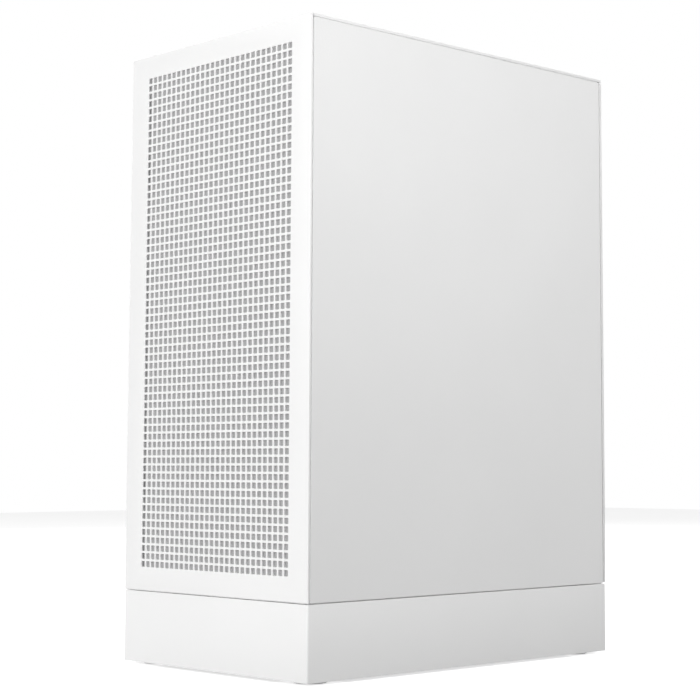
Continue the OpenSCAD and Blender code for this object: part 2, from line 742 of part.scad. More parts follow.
module rear_io_ports() color("silver") {
  // Stacks of two flat sockets.
  for (row = usb_rows)
    difference() {
      block([port_x - 16, port_y0, io_z1 - row - 7.5], [port_x, port_y1, io_z1 - row + 7.5]);
      for (x = [port_x - 14.6, port_x - 7])
        block([x, port_y1 - 10, io_z1 - row - 6.5], [x + 5.2, port_y1 + 1, io_z1 - row + 6.5]);
    }
  // Video sockets.
  for (row = video_rows)
    difference() {
      block([port_x - 8, port_y0, io_z1 - row - 8.5], [port_x - 1, port_y1, io_z1 - row + 8.5]);
      block([port_x - 7, port_y1 - 9, io_z1 - row - 7.3], [port_x - 2, port_y1 + 1, io_z1 - row + 7.3]);
    }
  // Network socket.
  difference() {
    block([port_x - 14, port_y0, io_z1 - net_row - 8], [port_x, port_y1, io_z1 - net_row + 8]);
    block([port_x - 11, port_y1 - 12, io_z1 - net_row - 5.9],
          [port_x - 2, port_y1 + 1, io_z1 - net_row + 5.9]);
  }
  // Three round sockets.
  for (x = audio_x)
    difference() {
      block([x - audio_half, port_y0, io_z1 - audio_row - audio_half],
            [x + audio_half, port_y1, io_z1 - audio_row + audio_half]);
      along_y(port_y1 - 14) translate([x, io_z1 - audio_row]) cylinder(r = jack_r, h = 20);
    }
}

module io_shield() color("silver") {
  clear = 0.4;
  difference() {
    block([io_x0, rear_in + 0.1, io_z0], [io_x1, rear_y - 0.3, io_z1]);
    for (row = usb_rows)
      port_window(16, 15, row, clear);
    for (row = video_rows)
      port_window(8, 17, row, clear);
    port_window(14, 16, net_row, clear);
    for (x = audio_x)
      block([x - audio_half - clear, rear_in - 1, io_z1 - audio_row - audio_half - clear],
            [x + audio_half + clear, rear_y + 1, io_z1 - audio_row + audio_half + clear]);
  }
}
module port_window(x_size, z_size, row, clear)
  block([port_x - x_size - clear, rear_in - 1, io_z1 - row - z_size / 2 - clear],
        [port_x + clear, rear_y + 1, io_z1 - row + z_size / 2 + clear]);

// ---------------------------------------------------------------- processor cooler

module cooler_cold_plate() color("silver") {
  difference() {
    block([cold_x0, cpu_y - 21, cpu_z - 21], [cold_x1, cpu_y + 21, cpu_z + 21]);
    for (y = pipe_y)
      translate([cold_x0 + 4.5, cpu_y + y, cpu_z - 22]) cylinder(r = pipe_r + 0.02, h = 44);
  }
  // Cross bar that clamps the plate over the processor.
  for (s = [-1, 1]) {
    block([cold_x0 + 1, cpu_y + s * 30 - 9.01, cpu_z - 6], [cold_x0 + 4, cpu_y + s * 30 + 9, cpu_z + 6]);
    translate([cold_x0 + 3, cpu_y + s * 34, cpu_z])
      rotate([0, 90, 0]) cylinder(r = 3, h = board_face - cold_x0 - 3);
  }
}

// Pipe bent to a U: along Z in the cold plate, then both legs along -X through the fins.
module heat_pipe(y, half_z) {
  x_base = cold_x0 + 4.5;
  x_bend = x_base - pipe_bend;
  translate([x_base, y, cpu_z - half_z + pipe_bend]) cylinder(r = pipe_r, h = 2 * (half_z - pipe_bend));
  for (s = [-1, 1])
    translate([0, 0, cpu_z]) scale_z(s) {
      translate([x_bend, y, half_z - pipe_bend]) rotate([90, 0, 0])
        rotate_extrude(angle = 90) translate([pipe_bend, 0]) circle(pipe_r);
      translate([pipe_x, y, half_z]) rotate([0, 90, 0]) cylinder(r = pipe_r, h = x_bend - pipe_x);
    }
}
module scale_z(s) if (s > 0) children(); else mirror([0, 0, 1]) children();

module cooler_heat_pipes() color("silver")
  for (i = [0:3]) heat_pipe(cpu_y + pipe_y[i], pipe_z[i]);

module cooler_fins() color("silver") {
  fins = 22;
  step = (fin_x1 - fin_x0) / fins;
  difference() {
    block([fin_x0, fin_y0, cpu_z - fin_half_z + 0.5], [fin_x1, fin_y1, cpu_z + fin_half_z - 0.5]);
    for (i = [0:fins - 1])
      block([fin_x0 + i * step + 0.9, fin_y0 - 1, cpu_z - fin_half_z + 1.5],
            [fin_x0 + (i + 1) * step - 0.9, fin_y1 + 1, cpu_z + fin_half_z - 1.5]);
    for (i = [0:3], s = [-1, 1])
      translate([fin_x0 - 1, cpu_y + pipe_y[i], cpu_z + s * pipe_z[i]])
        rotate([0, 90, 0]) cylinder(r = pipe_r + 0.02, h = fin_x1 - fin_x0 + 2);
  }
}

// ---------------------------------------------------------------- graphics card

module card_circuit_board() color("dimgray") {
  block([card_x0, card_y0 + 6, card_z - 0.8], [card_x1, card_y1, card_z + 0.8]);
  block([card_x1 - eps, 13, card_z - 0.8], [card_x1 + 9, 97, card_z + 0.8]);
  // Graphics chip, under the board and on the heat sink.
  block([card_fan_x - 16, 20, card_z - 3], [card_fan_x + 16, 52, card_z - 0.8 + eps]);
}

module card_heatsink() color("silver") {
  z0 = card_low + 15;
  z1 = card_z - 3;
  difference() {
    block([card_x0 + 4, card_y0 + 8, z0], [card_x1 - 4, card_y1 - 18, z1]);
    for (y = [card_y0 + 12 : 5 : card_y1 - 24])
      block([card_x0 + 3, y, z0 - 1], [card_x1 - 3, y + 3.6, z1 - 6]);
  }
}

module card_shroud() color("white") {
  z1 = card_z - 0.8;
  difference() {
    block([card_x0 - 8, card_y0, card_low], [card_x1, card_y1 - 13, z1]);
    block([card_x0 - 6, card_y0 + 2, card_low + 2], [card_x1 - 2, card_y1 - 15, z1 + 1]);
    for (y = card_fan_y)
      translate([card_fan_x, y, card_low - 1]) cylinder(r = card_fan_r + 1.2, h = 4);
    // Side vents towards the board.
    for (y = [card_y0 + 14 : 12 : card_y1 - 30])
      block([card_x1 - 3, y, card_low + 12], [card_x1 + 1, y + 8, z1 - 8]);
  }
  // Motor plates and their arms, above the fans.
  for (y = card_fan_y) {
    translate([card_fan_x, y, card_low + 13]) cylinder(r = 14, h = 1.4);
    block([card_x0 - 6 - eps, y - 2, card_low + 13], [card_x1 - 2 + eps, y + 2, card_low + 14.4]);
  }
}

module card_backplate() color("white") {
  difference() {
    block([card_x0, card_y0 + 8, card_z + 2.2], [card_x1 - 1, card_y1, card_z + 3.4]);
    for (i = [0:9])
      block([card_x0 + 14 + i * 7, card_y0 + 18, card_z + 1],
            [card_x0 + 17 + i * 7, card_y0 + 58, card_z + 5]);
  }
  for (x = [card_x0 + 6, card_x1 - 8], y = [card_y0 + 12, 0, card_y1 - 10])
    translate([x, y, card_z + 0.8]) cylinder(r = 3, h = 1.4 + eps);
}

module card_rotor(k)
  translate([card_fan_x, card_fan_y[k], card_low + 1]) rotor(card_fan_r, 14, 11, 11, 15);

// ---------------------------------------------------------------- power supply

module psu_case() color("dimgray")
  difference() {
    block([psu_x0, psu_y0, psu_z0], [psu_x1, psu_y1, psu_z1]);
    block([psu_x0 + psu_wall, psu_y0 + psu_wall, psu_z0 + psu_wall],
          [psu_x1 - psu_wall, psu_y1 - psu_wall, psu_z1 - psu_wall]);
    translate([psu_fan_x, psu_fan_y, psu_z0 - 1]) cylinder(r = 59, h = 4);
    // Vents across the rear face, beside the inlet.
    for (i = [0:13], j = [0:1])
      block([psu_x0 + 8 + i * 6.6, psu_y1 - 2, psu_z0 + 7 + j * 37],
            [psu_x0 + 12.4 + i * 6.6, psu_y1 + 1, psu_z0 + 41 + j * 37]);
    block([inlet_x - 14, psu_y1 - 2, inlet_z - 10.5], [inlet_x + 14, psu_y1 + 1, inlet_z + 10.5]);
    block([rocker_x - 10, psu_y1 - 2, rocker_z - 7], [rocker_x + 10, psu_y1 + 1, rocker_z + 7]);
    // Window for the cable sockets at the inner end.
    block([psu_x0 + 12, psu_y0 - 1, psu_port_z[0] - 8], [psu_x1 - 12, psu_y0 + 2, psu_port_z[1] + 8]);
  }

// Board of the power supply, upside down under its roof, with what stands on it.
module psu_circuit() color("darkgreen") {
  z1 = psu_z1 - psu_wall;
  board_z = z1 - 8;
  y0 = psu_y0 + 14;
  y1 = psu_y1 - 18;
  block([psu_x0 + 6, y0, board_z], [psu_x1 - 6, y1, board_z + 1.6]);
  for (x = [psu_x0 + 12, psu_x1 - 12], y = [y0 + 6, y1 - 6])
    translate([x, y, board_z + 1.6 - eps]) cylinder(r = 3, h = z1 - board_z - 1.6 + eps);
  // Transformers, cooling fins and smoothing capacitors.
  block([-30, 60, board_z - 36], [6, 100, board_z + eps]);
  block([14, 66, board_z - 26], [38, 94, board_z + eps]);
  for (x = [-44, 44])
    block([x, y0 + 6, board_z - 38], [x + 4, y1 - 10, board_z + eps]);
  for (p = [[-64, 112], [-64, 78]])
    translate([p[0], p[1], board_z - 40]) cylinder(r = 13, h = 40 + eps);
  for (x = [-28, -12, 4, 20])
    translate([x, 38, board_z - 22]) cylinder(r = 5, h = 22 + eps);
}

module psu_fan_grille() color("silver")
  translate([psu_fan_x, psu_fan_y, psu_z0 + 0.1]) linear_extrude(1) {
    for (r = [16.5 : 10.5 : 58.5])
      difference() {
        circle(r + 0.5);
        circle(r - 0.5);
      }
    for (a = [45, 135])
      rotate(a) square([117, 1], center = true);
  }

module psu_inlet() color("dimgray") {
  // Mains inlet with three blades, the rocker's frame and the sockets for the cables.
  difference() {
    block([inlet_x - 14, psu_y1 - 16, inlet_z - 10.5], [inlet_x + 14, rear_y - 0.2, inlet_z + 10.5]);
    block([inlet_x - 12.2, psu_y1 - 13, inlet_z - 8.5], [inlet_x + 12.2, rear_y + 1, inlet_z + 8.5]);
  }
  for (p = [[-7, -2], [7, -2], [0, 2]])
    block([inlet_x + p[0] - 1, psu_y1 - 13 - eps, inlet_z + p[1] - 2],
          [inlet_x + p[0] + 1, psu_y1 - 5, inlet_z + p[1] + 2]);
  difference() {
    block([rocker_x - 10, psu_y1 - 14, rocker_z - 7], [rocker_x + 10, rear_y - 0.2, rocker_z + 7]);
    block([rocker_x - 8.4, psu_y1 - 12, rocker_z - 5.6], [rocker_x + 8.4, rear_y + 1, rocker_z + 5.6]);
  }
  difference() {
    block([psu_x0 + 12, psu_y0, psu_port_z[0] - 8], [psu_x1 - 12, psu_y0 + 12, psu_port_z[1] + 8]);
    for (i = [0:5], z = psu_port_z)
      block([psu_port_x(i) - 8, psu_y0 - 1, z - 4.5], [psu_port_x(i) + 8, psu_y0 + 8, z + 4.5]);
  }
}

// Rocker with two flat faces that meet over its pivot.
module psu_switch() color("black")
  translate([rocker_x, rocker_y, rocker_z]) rotate([rocker_rest, 0, 0])
    rotate([90, 0, 90]) translate([0, 0, -8])
      difference() {
        linear_extrude(16) polygon([[-3, -3], [3.4, -5.1], [2.6, 0], [3.4, 5.1], [-3, 3]]);
        translate([0, 0, -1]) cylinder(r = 1, h = 18);
      }

// ---------------------------------------------------------------- cables

// Routes of the cables, from the power supply or the top sockets to what each one feeds.
main_route = [
  [36, 6, 110.5], [36, 1, 110.5], [42, -4, 109], [58, -4, 107], [78, -4, 105], [88, -8, 106],
  [90, -30, 118], [90, -70, 160], [90, -92, 210], [90, -96, 262], [90, -103, 312],
  [82.5, -109, 332], [70, -109, 335], [50, -108, 336], [39, -101, 337], [38, -91, 338],
  [44, -85, 338], [50, -85, 338]
];
processor_route = [
  [16, 6, 110.5], [16, 1, 112], [24, -4, 120], [50, -4, 123], [80, -4, 123], [90, 2, 125],
  [92, 30, 132], [92, 90, 150], [92, 118, 190], [92, 122, 260], [92, 122, 400], [91, 122, 430],
  [82.5, 122, 440], [66, 122, 441], [50, 123, 440], [41, 126, 434], [41, 127, 426], [50, 127, 423]
];
card_route = [
  [-64, 6, 110.5], [-64, 0, 111], [-64, -7, 119], [-64, -9, 135], [-64, -9, 155], [-67, -10, 180],
  [-76, -14, 206], [-82, -19, 226], [-79, -22, 241], [-71, -22, 246], [-65, -22, 246]
];
drive_route = [
  [-4, 6, 93.5], [-4, 1, 93], [6, -5, 91], [40, -6, 89], [60, -7, 87], [71, -16, 84],
  [73, -40, 76], [73, -66, 67], [71, -78, 64], [65, -80, 63.5]
];
sockets_route = [
  [78, -128, 458.5], [79, -123, 458.5], [86, -116, 457], [89, -113, 450], [95, -113, 440],
  [99.5, -114, 420], [99.5, -115, 270], [97, -115, 240], [82.5, -113, 226], [68, -112, 228],
  [54, -107, 244], [47, -95, 262], [48, -85, 270], [55, -82, 270.5]
];

function unit(v) = v / norm(v);
// Point at s, from 0 to 1, of the smooth curve from b to c with neighbours a and d.
function curve(a, b, c, d, s) =
  0.5 * (2 * b + (c - a) * s + (2 * a - 5 * b + 4 * c - d) * s * s + (3 * b - a - 3 * c + d) * s * s * s);
function smooth(p) =
  concat([for (i = [0:len(p) - 2], s = [0, 0.5])
            curve(p[max(i - 1, 0)], p[i], p[i + 1], p[min(i + 2, len(p) - 1)], s)],
         [p[len(p) - 1]]);
function heading(p, i) = unit(p[min(i + 1, len(p) - 1)] - p[max(i - 1, 0)]);
// Sideways direction at each point, carried along without a twist.
function sideways(p, i, last) =
  i == len(p) ? [] :
  let (t = heading(p, i), u = unit(last - (last * t) * t)) concat([u], sideways(p, i + 1, u));

// Round cable along a route.
module cable(route, r) {
  sides = 8;
  p = smooth(route);
  u = sideways(p, 0, [1, 0.3, 0.2]);
  rings = [for (i = [0:len(p) - 1], k = [0:sides - 1])
             p[i] + r * cos(360 * k / sides) * u[i] + r * sin(360 * k / sides) * cross(heading(p, i), u[i])];
  last = (len(p) - 1) * sides;
  walls = [for (i = [0:len(p) - 2], k = [0:sides - 1])
             let (a = i * sides, n = (k + 1) % sides)
             [a + k, a + sides + k, a + sides + n, a + n]];
  polyhedron(rings, concat([[for (k = [0:sides - 1]) k]], [[for (k = [sides - 1:-1:0]) last + k]], walls));
}

module power_cables() color("white") {
  cable(main_route, 5);
  cable(processor_route, 3);
  cable(card_route, 4);
  cable(drive_route, 2.5);
  cable(sockets_route, 2.5);
  // Plugs at the power supply.
  for (p = [[36, psu_port_z[1]], [16, psu_port_z[1]], [-64, psu_port_z[1]], [-4, psu_port_z[0]]])
    block([p[0] - 7.8, 6, p[1] - 4.3], [p[0] + 7.8, psu_y0 + 8, p[1] + 4.3]);
  // Plugs at the board, the card and the drive.
  block([50, board_y0 + 2.5, 313], [board_face - 12, board_y0 + 11.5, 363]);
  block([50, board_y1 - 33, 418.5], [board_face - 12, board_y1 - 17, 427.5]);
  block([-65, -33, 241], [card_x0 - 8, -11, 251]);
  block([56, -92, 61], [65, -68, 66]);
  block([55, board_y0 + 3, 265], [board_face - 9, board_y0 + 17, 276]);
}

// ---------------------------------------------------------------- spinning and moving pieces

module rear_fan_rotor() color("white")
  translate([rear_fan_x, rear_fan_y0 + rotor_gap, rear_fan_z]) fan_upright() case_rotor();

module cooler_fan_rotor() color("white")
  translate([(fin_x0 + fin_x1) / 2, cooler_fan_y0 + rotor_gap, cpu_z]) fan_upright() case_rotor();

module psu_fan_rotor() color("dimgray")
  translate([psu_fan_x, psu_fan_y, psu_fan_z0 + rotor_gap]) case_rotor();

module front_panel() color("white") {
  inner_x = 97;
  z0 = 60;
  z1 = 460;
  along_y(front_y) linear_extrude(front_t) difference() {
    translate([-half_w, panel_z0]) square([case_w, top_z - panel_z0]);
    translate([0, front_field_z]) slot_field(hole_columns, front_slots);
  }
  // Return flange behind the face.
  difference() {
    block([-inner_x, front_y + front_t - eps, z0], [inner_x, chassis_y0 - 2, z1]);
    block([-inner_x + skin, front_y, z0 + skin], [inner_x - skin, chassis_y0, z1 - skin]);
  }
}

module front_panel_studs() color("silver")
  both_sides() for (z = front_stud_z)
    translate([front_stud_x, front_y + front_t, z]) rotate([-90, 0, 0]) ball_stud(8.6);

module front_filter() color("gray") {
  x1 = 87.2;
  z0 = 66;
  z1 = 456;
  y0 = front_y + front_t;
  y1 = y0 + 0.5;
  // Cloth against the panel, and a frame with two bars behind it.
  block([-x1, y0, z0], [x1, y1, z1]);
  difference() {
    block([-x1, y1 - eps, z0], [x1, y1 + 1.5, z1]);
    for (z = [z0 + 4 : 129.5 : z1 - 20])
      block([-x1 + 4, y1 - 1, z], [x1 - 4, y1 + 2, z + 123]);
  }
}

module right_panel() color("white")
  difference() {
    block([half_w - flange, side_y0, panel_z0], [half_w, side_y1, side_z1]);
    block([half_w - flange - 1, side_y0 + skin, panel_z0 + skin],
          [half_w - skin, side_y1 - skin, side_z1 - skin]);
  }

module right_panel_studs() color("silver")
  for (y = side_stud_y, z = side_stud_z)
    translate([half_w - skin, y, z]) rotate([0, -90, 0]) ball_stud(half_w - skin - chassis_x - 3);

module left_glass() color("lightblue", 0.4)
  block([-half_w, side_y0, panel_z0], [-half_w + glass_t, side_y1, side_z1]);

module left_glass_rails() color("white") {
  x0 = -half_w + glass_t;
  for (z = side_stud_z) {
    block([x0, side_y0 + 8, z - 9], [x0 + skin, side_y1 - 4, z + 9]);
    for (y = side_stud_y)
      translate([x0 + skin - eps, y, z]) rotate([0, 90, 0]) {
        cylinder(r = stud_r, h = 3.2);
        translate([0, 0, 3.2]) sphere(ball_r);
      }
  }
}

module top_panel() color("white") {
  y0 = side_y0;
  skirt_x = 93.4;
  field_y = 10;
  difference() {
    block([-half_w, y0, top_z - top_t], [half_w, rear_y, top_z]);
    translate([0, field_y, top_z - top_t - 1]) linear_extrude(top_t + 2) slot_field(hole_columns, top_slots);
    for (x = usb_a_x)
      translate([x, top_row_y, top_z - top_t - 1])
        linear_extrude(top_t + 2) square(usb_a_size + [0.8, 0.8], center = true);
    translate([usb_c_x, top_row_y, top_z - top_t - 1])
      linear_extrude(top_t + 2) rounded_square(usb_c_size[0] + 0.8, usb_c_size[1] + 0.8, 2);
    translate([jack_x, top_row_y, top_z - top_t - 1]) cylinder(r = 3.9, h = top_t + 2);
    translate([button_x, top_row_y, top_z - top_t - 1]) cylinder(r = button_r + 0.4, h = top_t + 2);
  }
  both_sides()
    block([skirt_x, top_stud_y[0] + 8, top_z - 10], [skirt_x + skin, top_stud_y[1] + 6, top_z - top_t + eps]);
}

module top_panel_studs() color("silver")
  both_sides() for (y = top_stud_y)
    translate([top_stud_x, y, top_z - top_t]) mirror([0, 0, 1]) ball_stud(8.7);

module top_filter() color("gray") {
  x1 = 83;
  y0 = -106;
  y1 = 126;
  z1 = top_z - top_t;
  difference() {
    block([-x1, y0, z1 - 1.5], [x1, y1, z1]);
    for (y = [y0 + 5 : 112.5 : y1 - 20], x = [-x1 + 5, 2.5])
      block([x, y, z1 - 2], [x + x1 - 7.5, y + 109.5, z1 + 1]);
  }
  block([-x1 + 4, y0 + 4, z1 - 0.9], [x1 - 4, y1 - 4, z1 - 0.6]);
}

module bottom_filter() color("gray") {
  z1 = filter_z0 + filter_t;
  w = filter_half_w;
  difference() {
    block([-w, filter_y0, filter_z0], [w, filter_y1, z1]);
    for (y = [filter_y0 + 6 : 100 : filter_y1 - 30])
      block([-w + 7, y, filter_z0 - 1], [w - 7, y + 95, z1 + 1]);
  }
  block([-w + 6, filter_y0 + 5, filter_z0 + 2.2], [w - 6, filter_y1 - 5, filter_z0 + 2.7]);
  // Pull tab at the rear.
  block([-22, filter_y1 - eps, filter_z0 + 0.5], [22, filter_y1 + 5, z1 - 0.5]);
}

base_plinth();
rubber_feet();
floor_pan();
rear_panel();
front_fan_plate();
top_frame();
motherboard_tray();
frame_posts();
psu_shroud();
slot_brackets();
thumb_screws();
clip_sockets();
cable_grommets();
drive_cage();
hard_drive();
io_housing();
io_sockets();
motherboard();
standoffs();
case_screws();
processor();
board_heatsinks();
board_sockets();
memory_modules();
rear_io_ports();
io_shield();
cooler_cold_plate();
cooler_heat_pipes();
cooler_fins();
fan_frames();
card_circuit_board();
card_heatsink();
card_shroud();
card_backplate();
psu_case();
psu_circuit();
psu_fan_grille();
psu_inlet();
power_cables();
color("white") front_rotor(0);  // front_fan_rotor_1
color("white") front_rotor(1);  // front_fan_rotor_2
color("white") front_rotor(2);  // front_fan_rotor_3
rear_fan_rotor();
cooler_fan_rotor();
color("dimgray") card_rotor(0);  // card_fan_rotor_1
color("dimgray") card_rotor(1);  // card_fan_rotor_2
psu_fan_rotor();
power_button();
psu_switch();
front_panel();
front_panel_studs();
front_filter();
right_panel();
right_panel_studs();
left_glass();
left_glass_rails();
top_panel();
top_panel_studs();
top_filter();
bottom_filter();
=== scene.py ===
"""Looks of a compact desktop computer tower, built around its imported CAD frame."""

import json
import math
import random

import bmesh
import bpy
from mathutils import Matrix, Vector
from mathutils.geometry import tessellate_polygon


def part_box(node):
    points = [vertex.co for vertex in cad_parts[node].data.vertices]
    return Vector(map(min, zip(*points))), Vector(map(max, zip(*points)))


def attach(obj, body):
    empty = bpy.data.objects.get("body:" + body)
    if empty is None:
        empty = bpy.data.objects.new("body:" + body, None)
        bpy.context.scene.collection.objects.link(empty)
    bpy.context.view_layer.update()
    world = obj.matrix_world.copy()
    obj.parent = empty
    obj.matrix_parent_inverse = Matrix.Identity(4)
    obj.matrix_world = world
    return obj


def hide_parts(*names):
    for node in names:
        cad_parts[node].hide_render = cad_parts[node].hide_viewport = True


# Pieces are built in millimetres. The camera, the lights and the materials are in metres.
MM = 0.001
# Corners closer than this, in metres, are one corner.
MERGE = 0.00001
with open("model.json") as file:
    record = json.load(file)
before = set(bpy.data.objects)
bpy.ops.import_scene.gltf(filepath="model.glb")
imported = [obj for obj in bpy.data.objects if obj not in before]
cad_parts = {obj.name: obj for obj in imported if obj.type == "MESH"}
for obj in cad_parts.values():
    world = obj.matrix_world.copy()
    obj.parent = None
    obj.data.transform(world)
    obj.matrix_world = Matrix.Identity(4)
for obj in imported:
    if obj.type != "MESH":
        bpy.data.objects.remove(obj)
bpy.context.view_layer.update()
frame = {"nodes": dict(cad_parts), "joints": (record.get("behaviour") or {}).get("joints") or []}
nodes = frame["nodes"]


# ---------------- camera, light and floor

# The camera's place in metres, its angles in degrees, its lens in millimetres and its shift.
CAMERA_AT = (1.0381, -0.9587, 0.1493)
CAMERA_YAW = 45.262
CAMERA_PITCH = 5.603
CAMERA_LENS = 91.23
CAMERA_SHIFT = (-0.125, -0.083)


def add_camera():
    data = bpy.data.cameras.new("camera")
    data.lens = CAMERA_LENS
    data.sensor_width = 36
    data.shift_x, data.shift_y = CAMERA_SHIFT
    data.clip_start, data.clip_end = 0.01, 50
    camera = bpy.data.objects.new("camera", data)
    camera.location = CAMERA_AT
    camera.rotation_euler = (math.radians(90 + CAMERA_PITCH), 0, math.radians(CAMERA_YAW))
    bpy.context.scene.collection.objects.link(camera)
    bpy.context.scene.camera = camera


# Studio lights: place, target, size and watts.
LIGHTS = {
    "right_key": ((0.85, -0.14, 0.60), (0.11, 0.0, 0.36), (0.8, 0.4), 3.2),
    "over_front": ((-0.25, -1.30, 1.45), (0.0, -0.16, 0.35), (1.2, 1.0), 1.2),
    "front_wall": ((-0.3, -2.6, 0.6), (0.0, -0.16, 0.25), (2.4, 1.6), 44.6),
    "overhead": ((0.0, 0.0, 2.4), (0.0, 0.0, 0.0), (2.0, 2.0), 13.5),
    "left_fill": ((-2.4, 0.8, 1.2), (-0.1, 0.0, 0.25), (2.0, 1.6), 27.0),
    "rear_fill": ((-0.6, 2.4, 1.2), (0.0, 0.15, 0.25), (2.0, 1.6), 18.9),
}
# Strength of the sky's light from well above and from well below the horizon.
SKY_ABOVE = 0.41
SKY_BELOW = 0.47


def add_lights():
    for name, (place, target, size, watts) in LIGHTS.items():
        add_area(name, place, target, size, watts)
    add_world(SKY_ABOVE, SKY_BELOW)
    bpy.context.scene.view_settings.view_transform = "Standard"


def add_area(name, place, target, size, watts):
    data = bpy.data.lights.new(name, "AREA")
    data.shape = "RECTANGLE"
    data.size, data.size_y = size
    data.energy = watts
    light = bpy.data.objects.new(name, data)
    light.location = place
    light.rotation_euler = (Vector(target) - Vector(place)).to_track_quat("-Z", "Y").to_euler()
    light.visible_camera = False
    bpy.context.scene.collection.objects.link(light)


def add_world(above, below):
    """Soft sky with one level below the horizon and another above it, which the camera sees as white."""
    world = bpy.data.worlds.new("studio")
    bpy.context.scene.world = world
    world.use_nodes = True
    tree = world.node_tree
    background = tree.nodes["Background"]
    background.inputs["Color"].default_value = (1.0, 1.0, 1.0, 1.0)
    place = tree.nodes.new("ShaderNodeTexCoord")
    split = tree.nodes.new("ShaderNodeSeparateXYZ")
    level = tree.nodes.new("ShaderNodeMapRange")
    for socket, value in zip(("From Min", "From Max", "To Min", "To Max"), (-0.25, 0.5, below, above)):
        level.inputs[socket].default_value = value
    path = tree.nodes.new("ShaderNodeLightPath")
    seen = tree.nodes.new("ShaderNodeMix")
    seen.data_type = "FLOAT"
    seen.inputs["B"].default_value = 1.0
    tree.links.new(place.outputs["Generated"], split.inputs[0])
    tree.links.new(split.outputs["Z"], level.inputs["Value"])
    tree.links.new(path.outputs["Is Camera Ray"], seen.inputs["Factor"])
    tree.links.new(level.outputs["Result"], seen.inputs["A"])
    tree.links.new(seen.outputs["Result"], background.inputs["Strength"])


def add_floor():
    mesh = bpy.data.meshes.new("floor")
    half = 4.0
    mesh.from_pydata([(*p, 0) for p in rectangle(-half, -half, half, half)], [], [(0, 1, 2, 3)])
    floor = bpy.data.objects.new("floor", mesh)
    bpy.context.scene.collection.objects.link(floor)
    mesh.materials.append(FLOOR)
    floor.visible_diffuse = False


# ---------------- materials

# The values between which a noise texture mostly lies.
NOISE_SPAN = (0.3, 0.7)


class Shader:
    """A Principled material and the few node helpers that the looks need."""

    def __init__(self, name, color, rough=0.5, metal=0.0, **sockets):
        self.mat = bpy.data.materials.new(name)
        self.mat.use_nodes = True
        self.tree = self.mat.node_tree
        self.bsdf = self.tree.nodes["Principled BSDF"]
        self.color = color
        self.bsdf.inputs["Base Color"].default_value = (*color, 1)
        self.bsdf.inputs["Roughness"].default_value = rough
        self.bsdf.inputs["Metallic"].default_value = metal
        for key, value in sockets.items():
            self.bsdf.inputs[key.replace("_", " ")].default_value = value
        self.place = self.node("ShaderNodeTexCoord").outputs["Object"]
        self.height = None

    def node(self, kind, **values):
        made = self.tree.nodes.new(kind)
        for key, value in values.items():
            setattr(made, key, value)
        return made

    def link(self, a, b):
        self.tree.links.new(a, b)

    def stretched(self, scale):
        """Object coordinates scaled by (x, y, z)."""
        mapping = self.node("ShaderNodeMapping")
        mapping.inputs["Scale"].default_value = scale
        self.link(self.place, mapping.inputs["Vector"])
        return mapping.outputs["Vector"]

    def noise(self, scale, detail=2.0, vector=None, rough=0.5):
        made = self.node("ShaderNodeTexNoise")
        made.inputs["Scale"].default_value = scale
        made.inputs["Detail"].default_value = detail
        made.inputs["Roughness"].default_value = rough
        self.link(vector or self.place, made.inputs["Vector"])
        return made.outputs["Fac"]

    def voronoi(self, scale, feature="F1"):
        made = self.node("ShaderNodeTexVoronoi", feature=feature)
        made.inputs["Scale"].default_value = scale
        self.link(self.place, made.inputs["Vector"])
        return made

    def wave(self, scale, direction, vector=None, distortion=0.0):
        made = self.node("ShaderNodeTexWave", wave_type="BANDS", bands_direction=direction)
        made.inputs["Scale"].default_value = scale
        made.inputs["Distortion"].default_value = distortion
        self.link(vector or self.place, made.inputs["Vector"])
        return made.outputs["Fac"]

    def math(self, operation, a, b=0.0):
        made = self.node("ShaderNodeMath", operation=operation)
        for socket, value in zip(made.inputs, (a, b)):
            if isinstance(value, (int, float)):
                socket.default_value = value
            else:
                self.link(value, socket)
        return made.outputs[0]

    def ramp(self, value, low, high, span=(0.0, 1.0)):
        """Maps a value in span to a colour or number between low and high."""
        made = self.node("ShaderNodeValToRGB")
        as_color = [c if isinstance(c, tuple) else (c, c, c) for c in (low, high)]
        for element, at, color in zip(made.color_ramp.elements, span, as_color):
            element.position = at
            element.color = (*color, 1)
        self.link(value, made.inputs["Fac"])
        return made.outputs["Color"]

    def tint(self, value, spread):
        """Varies the base colour by a share of itself."""
        low = tuple(c * (1 - spread) for c in self.color)
        high = tuple(min(1, c * (1 + spread)) for c in self.color)
        return self.paint(value, low, high, NOISE_SPAN)

    def paint(self, value, low, high, span=(0.0, 1.0)):
        self.link(self.ramp(value, low, high, span), self.bsdf.inputs["Base Color"])
        return self

    def roughen(self, value, low, high):
        self.link(self.ramp(value, low, high, NOISE_SPAN), self.bsdf.inputs["Roughness"])
        return self

    def bump(self, value, depth):
        """Raises the surface by up to `depth` metres, on top of any bump so far."""
        made = self.node("ShaderNodeBump")
        made.inputs["Strength"].default_value = 1.0
        made.inputs["Distance"].default_value = depth
        self.link(value, made.inputs["Height"])
        if self.height:
            self.link(self.height, made.inputs["Normal"])
        self.height = made.outputs["Normal"]
        self.link(self.height, self.bsdf.inputs["Normal"])
        return self


def powder_coat(name, color, rough):
    s = Shader(name, color, rough)
    s.tint(s.noise(9, 3), 0.012)
    s.roughen(s.noise(700, 2), rough - 0.06, rough + 0.06)
    return s.bump(s.noise(2600, 2), 0.00004).bump(s.noise(650, 1), 0.00005)


def moulded(name, color, rough, grain=0.00003, **sockets):
    s = Shader(name, color, rough, **sockets)
    s.tint(s.noise(25, 2), 0.03)
    s.roughen(s.noise(900, 2), rough - 0.07, rough + 0.07)
    return s.bump(s.voronoi(2200).outputs["Distance"], grain)


